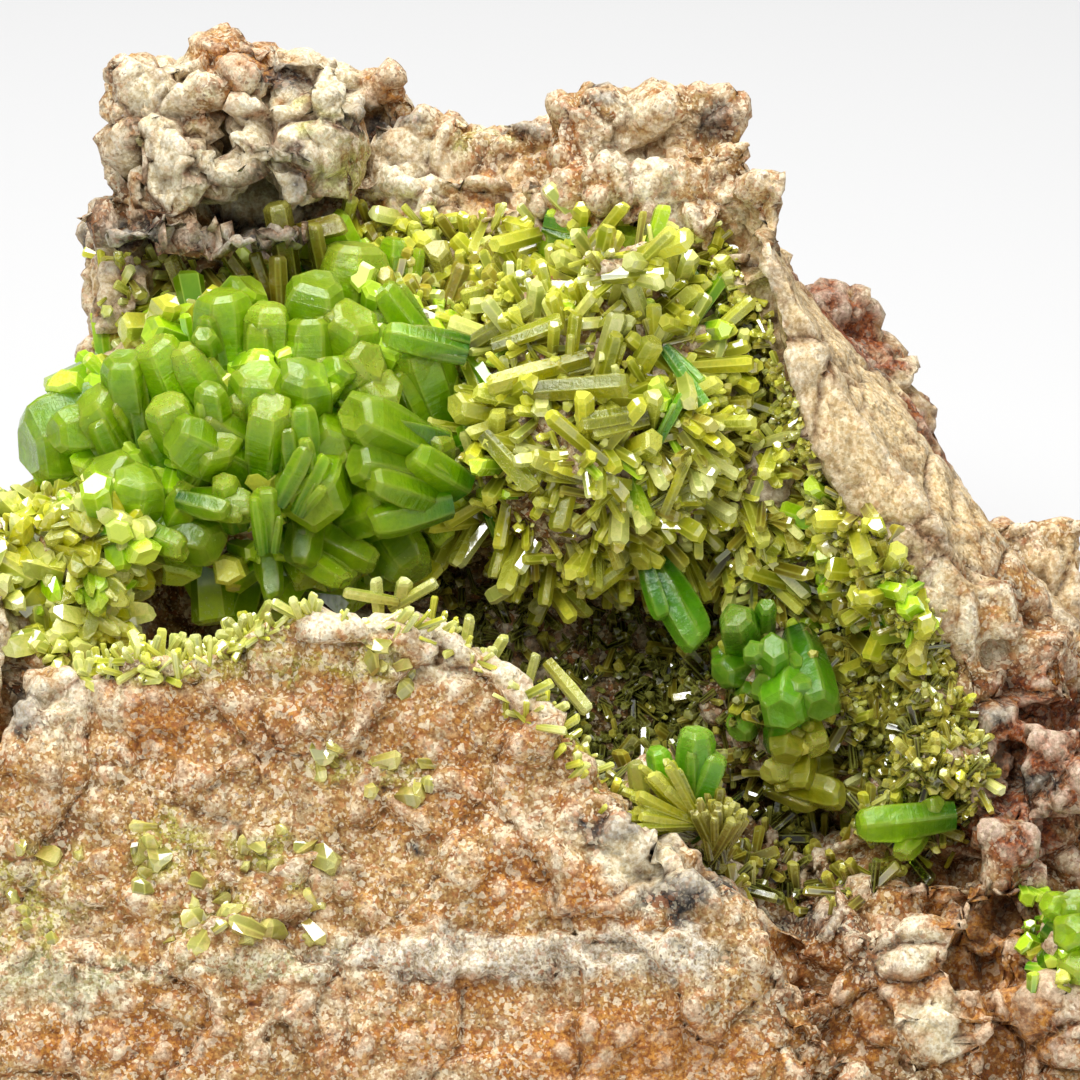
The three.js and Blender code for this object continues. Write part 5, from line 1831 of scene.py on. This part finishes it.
ROCK_LUMPS = [
    # between the peaks, down to the crystals
    ([76, 21, -5], [7, 10, 11]), ([87, 45, -31], [9, 12, 8]), ([62, 26.6, 1.6], [8, 4.4, 5]),
    ([68.6, 43, -1], [5, 5, 5]), ([58, 45.4, 1.8], [5, 4, 4]), ([43, 21, -18], [12, 9, 9]),
    ([49, 22.4, -17], [12, 9, 10]), ([54, 22, -14], [10, 10, 12]),
    # under the right peak
    ([59, 20, -12], [10, 11, 12]), ([65, 21, -11], [12, 10, 13]), ([71, 22, -10], [11, 11, 14]),
    ([62, 25, -10], [8, 6, 11]), ([74, 27, -8], [8, 10, 13]), ([75, 34, -10], [8, 12, 14]),
    ([77.6, 42, -10], [7, 14, 14]), ([80, 50, -13], [8, 12, 14]),
    # the red rock behind the crest
    ([84, 31.6, -27], [10, 8, 10]), ([88, 36.4, -28], [10, 9, 10]), ([90.6, 42, -29], [9, 9, 10]),
    # the dark band under the left peak
    ([14, 23.6, -5.4], [10, 3.0, 8]), ([22.4, 24, -6], [11, 2.8, 8]), ([29, 23.4, -7.4], [8, 2.4, 7]),
    ([9.4, 21.6, -8.4], [5, 2.6, 5]),
    # blocks on the left peak
    ([15, 13, -9], [7, 9, 8]), ([20, 16, -6], [8, 9, 8]), ([27, 14, -4.6], [9, 8, 7]),
    ([32, 12, -8], [7, 11, 8]), ([30, 19, -9], [8, 6, 8]), ([17, 20.6, -7], [9, 6, 8]),
    ([24, 8, -8], [8, 5, 8]),
]
ROCK_WEDGES = [
    # the broad back of the crest, from its edge down to the red rock
    [[76.4, 25, -1], [79.4, 32, 1], [83.4, 41, 2], [88.4, 50, 2.4], [94, 58, 2], [80.4, 28, -17],
     [84.6, 34, -20], [89.6, 40, -21], [94.6, 47, -19], [100, 54, -15], [105, 61, -10], [82, 37, -28],
     [90, 47, -28], [98, 58, -22], [97, 62, -4]],
    [[72.6, 24, -4], [76.4, 33, -3], [79.4, 41, -2.6], [83, 49, -2.4], [88.6, 55, -2], [77, 25, -8],
     [84, 38, -8], [92, 52, -8], [80, 44, -16], [88, 56, -14]],
]
ROCK_MOUNDS = [
    ([25.4, 44.6, -16], [20.6, 14.4, 17.0]), ([38.6, 33, -16], [7, 9, 9]), ([47, 29, -20], [6, 8, 8]),
    ([59, 42, -18], [18, 17, 19]), ([55, 36, -14], [9, 9, 13]), ([66, 34, -16], [10, 10, 13]),
    ([78, 47, -20], [8, 16, 15]), ([77.4, 69.6, -18], [7.6, 9.6, 14]), ([6.4, 54.6, 0.6], [6, 5.4, 3.4]),
    ([9.0, 61, 0.6], [4.4, 4.4, 3.4]), ([87, 70, -20], [9, 14, 14]), ([67, 81, 4], [5, 5, 6]),
    ([107.6, 94, 6], [3.4, 4, 4]),
    ([23, 26, -17], [9, 4, 5]), ([90, 83, -4], [5, 4, 3.6]),
]


@dataclass
class Druses:
    """All the crystals of the specimen, group by group.

    Attributes:
        soil: the rock's faces.
    """

    soil: Soil

    def sown(self, plots: list, seed: int) -> Crop:
        """The small crystals of several plots.

        Args:
            plots: the plots.
            seed: the first plot's seed.
        Returns:
            The crop.
        """
        crops = [self.soil.sow(plot, seed + k) for k, plot in enumerate(plots)]
        return sum(crops[1:], crops[0])

    def group(self, name: str, rows: list, habit: Habit, slot: str, plots: list | None = None,
              dome: Dome | None = None, profile: Profile = NEEDLE, seed: int = 1, twins: int = 0) -> None:
        """One crystal group: its listed crystals, with the small ones between them.

        Args:
            name: the CAD node that it stands for.
            rows: its listed crystals.
            habit: their habit.
            slot: the record's material slot.
            plots: where its small crystals grow.
            dome: the dome that the rows stand on.
            profile: the listed crystals' outline, which their finish goes by.
            seed: another seed gives other irregularities.
            twins: how many smaller crystals grow beside each listed one.
        """
        if rows:
            crop = Crop.listed(rows, habit, dome, profile.girth)
            crop = crop.twinned(twins, seed + 40) if twins else crop
            large = prisms(name + "_large", crop, profile, seed)
            settle(large, STOUT_FINISH if profile is BARREL else SLIM_FINISH, slot, name)
        if plots:
            shape = SHARD if profile is SHARD else GRAIN
            small = prisms(name + "_small", self.sown(plots, seed * 10), shape, seed + 5)
            settle(small, FINE_FINISH, slot, *(() if rows else (name,)))
        log.info("%s done", name)

    def build(self) -> None:
        """Makes every group, the sheaf beside the ledge crystals and the stubs on the slab."""
        self.group("stout_crystal_cluster", STOUT_ROWS, L, "lime_pyromorphite", STOUT_PLOTS, STOUT_DOME,
                   BARREL, seed=1, twins=2)
        self.group("needle_druse", NEEDLE_ROWS, Y, "yellow_green_pyromorphite", NEEDLE_PLOTS, NEEDLE_DOME,
                   seed=2, twins=1)
        self.group("vug_crust", [], O, "olive_pyromorphite", CRUST_PLOTS, seed=3)
        self.group("emerald_crystal_spray", EMERALD_ROWS, E, "emerald_pyromorphite", profile=BARREL,
                   seed=4, twins=1)
        self.group("ledge_crystal_cluster", LEDGE_ROWS, E, "emerald_pyromorphite", profile=BARREL,
                   seed=5, twins=1)
        self.group("peak_foot_crystals", FOOT_ROWS, O, "olive_pyromorphite", GAP_PLOTS, seed=6)
        self.group("left_shoulder_crystals", SHOULDER_ROWS, Y, "yellow_green_pyromorphite", SHOULDER_PLOTS,
                   profile=SHARD, seed=7, twins=5)
        self.group("lying_crystal", LYING_ROWS, L, "emerald_pyromorphite", profile=BARREL, seed=8)
        self.group("side_crystal_cluster", SIDE_ROWS, L, "lime_pyromorphite", SIDE_PLOTS, profile=BARREL,
                   seed=9)
        sheaves = [Crop.fan(*sheaf) for sheaf in LEDGE_SHEAVES]
        sheaf = prisms("ledge_sheaf", sum(sheaves[1:], sheaves[0]), NEEDLE, 12)
        settle(sheaf, SLIM_FINISH, "olive_pyromorphite")
        stubs = prisms("slab_stubs", self.sown(STUB_PLOTS, 130), SHARD, 13)
        settle(stubs, FINE_FINISH, "pale_pyromorphite")
        self.group("rim_spray_left", LEFT_RIM_ROWS, P, "pale_pyromorphite", RIM_PLOTS[:1], seed=10)
        self.group("rim_spray_right", RIGHT_RIM_ROWS, P, "pale_pyromorphite", RIM_PLOTS[1:], seed=11)


# ------------------------------------------------------------------ stage
@dataclass
class Stage:
    """The white table, the soft lights and the camera.

    Attributes:
        focal: the lens in mm.
        sensor: the sensor's side in mm.
        reach: half the table's side in metres.
        gap: metres between the table and the specimen's base.
    """

    focal: float = 200.0
    sensor: float = 36.0
    reach: float = 3.0
    gap: float = 0.0001

    def table(self) -> bpy.types.Object:
        """A wide white table.

        Returns:
            The object.
        """
        square = np.array([[-1, -1, 0], [1, -1, 0], [1, 1, 0], [-1, 1, 0]], float)
        corners = square * self.reach - np.array([0.0, 0.0, self.gap])
        made = mesh_object("table", corners, np.array([0, 1, 2, 3]), np.array([4]))
        g = Graph("white table")
        white = (0.65, 0.65, 0.65)
        made.data.materials.append(g.finish(Base_Color=white, Roughness=0.8, Specular_IOR_Level=0.0))
        return made

    def lights(self) -> None:
        """A bright room with three area lamps: a large one overhead, one at the left and a weak one at the
        right."""
        world = bpy.data.worlds.new("bright room")
        bpy.context.scene.world = world
        world.use_nodes = True
        sky = world.node_tree.nodes["Background"]
        sky.inputs["Color"].default_value = (1.0, 1.0, 1.0, 1.0)
        sky.inputs["Strength"].default_value = 0.22
        for name, place, size, power in (
            ("overhead box", (-0.04, 0.12, 0.72), 0.5, 6.3),
            ("soft box", (-0.22, -0.42, 0.6), 0.24, 2.7),
            ("fill", (0.4, -0.6, 0.4), 0.4, 0.8),
        ):
            lamp = bpy.data.lights.new(name, "AREA")
            lamp.size = size
            lamp.energy = power
            lit = bpy.data.objects.new(name, lamp)
            lit.location = place
            aim = Vector((0, 0, 0.04)) - Vector(place)  # at the specimen's middle
            lit.rotation_euler = aim.to_track_quat("-Z", "Y").to_euler()
            bpy.context.scene.collection.objects.link(lit)

    def camera(self) -> None:
        """The eye of the sheet."""
        data = bpy.data.cameras.new("eye")
        data.lens = self.focal
        data.sensor_width = self.sensor
        data.clip_start = 0.01
        data.clip_end = 20.0
        eye = bpy.data.objects.new("eye", data)
        middle = np.array(SHEET.middle) * MM
        eye.location = Vector(middle + SHEET.axes()[2] * SHEET.sight * MM)
        eye.rotation_euler = (math.radians(90.0 - SHEET.look_down), 0.0, 0.0)
        bpy.context.scene.collection.objects.link(eye)
        bpy.context.scene.camera = eye

    def build(self) -> None:
        """Sets the stage."""
        self.table()
        self.lights()
        self.camera()
        bpy.context.scene.view_settings.view_transform = "Standard"


def main() -> None:
    """Builds every piece and the stage."""
    logging.basicConfig(level=logging.INFO, format="%(message)s")
    rock = Rock(lumps=ROCK_LUMPS, wedges=ROCK_WEDGES, mounds=ROCK_MOUNDS).build()
    log.info("rock done")
    Druses(Soil.of(rock)).build()
    Stage().build()


if __name__ == "__main__":
    main()
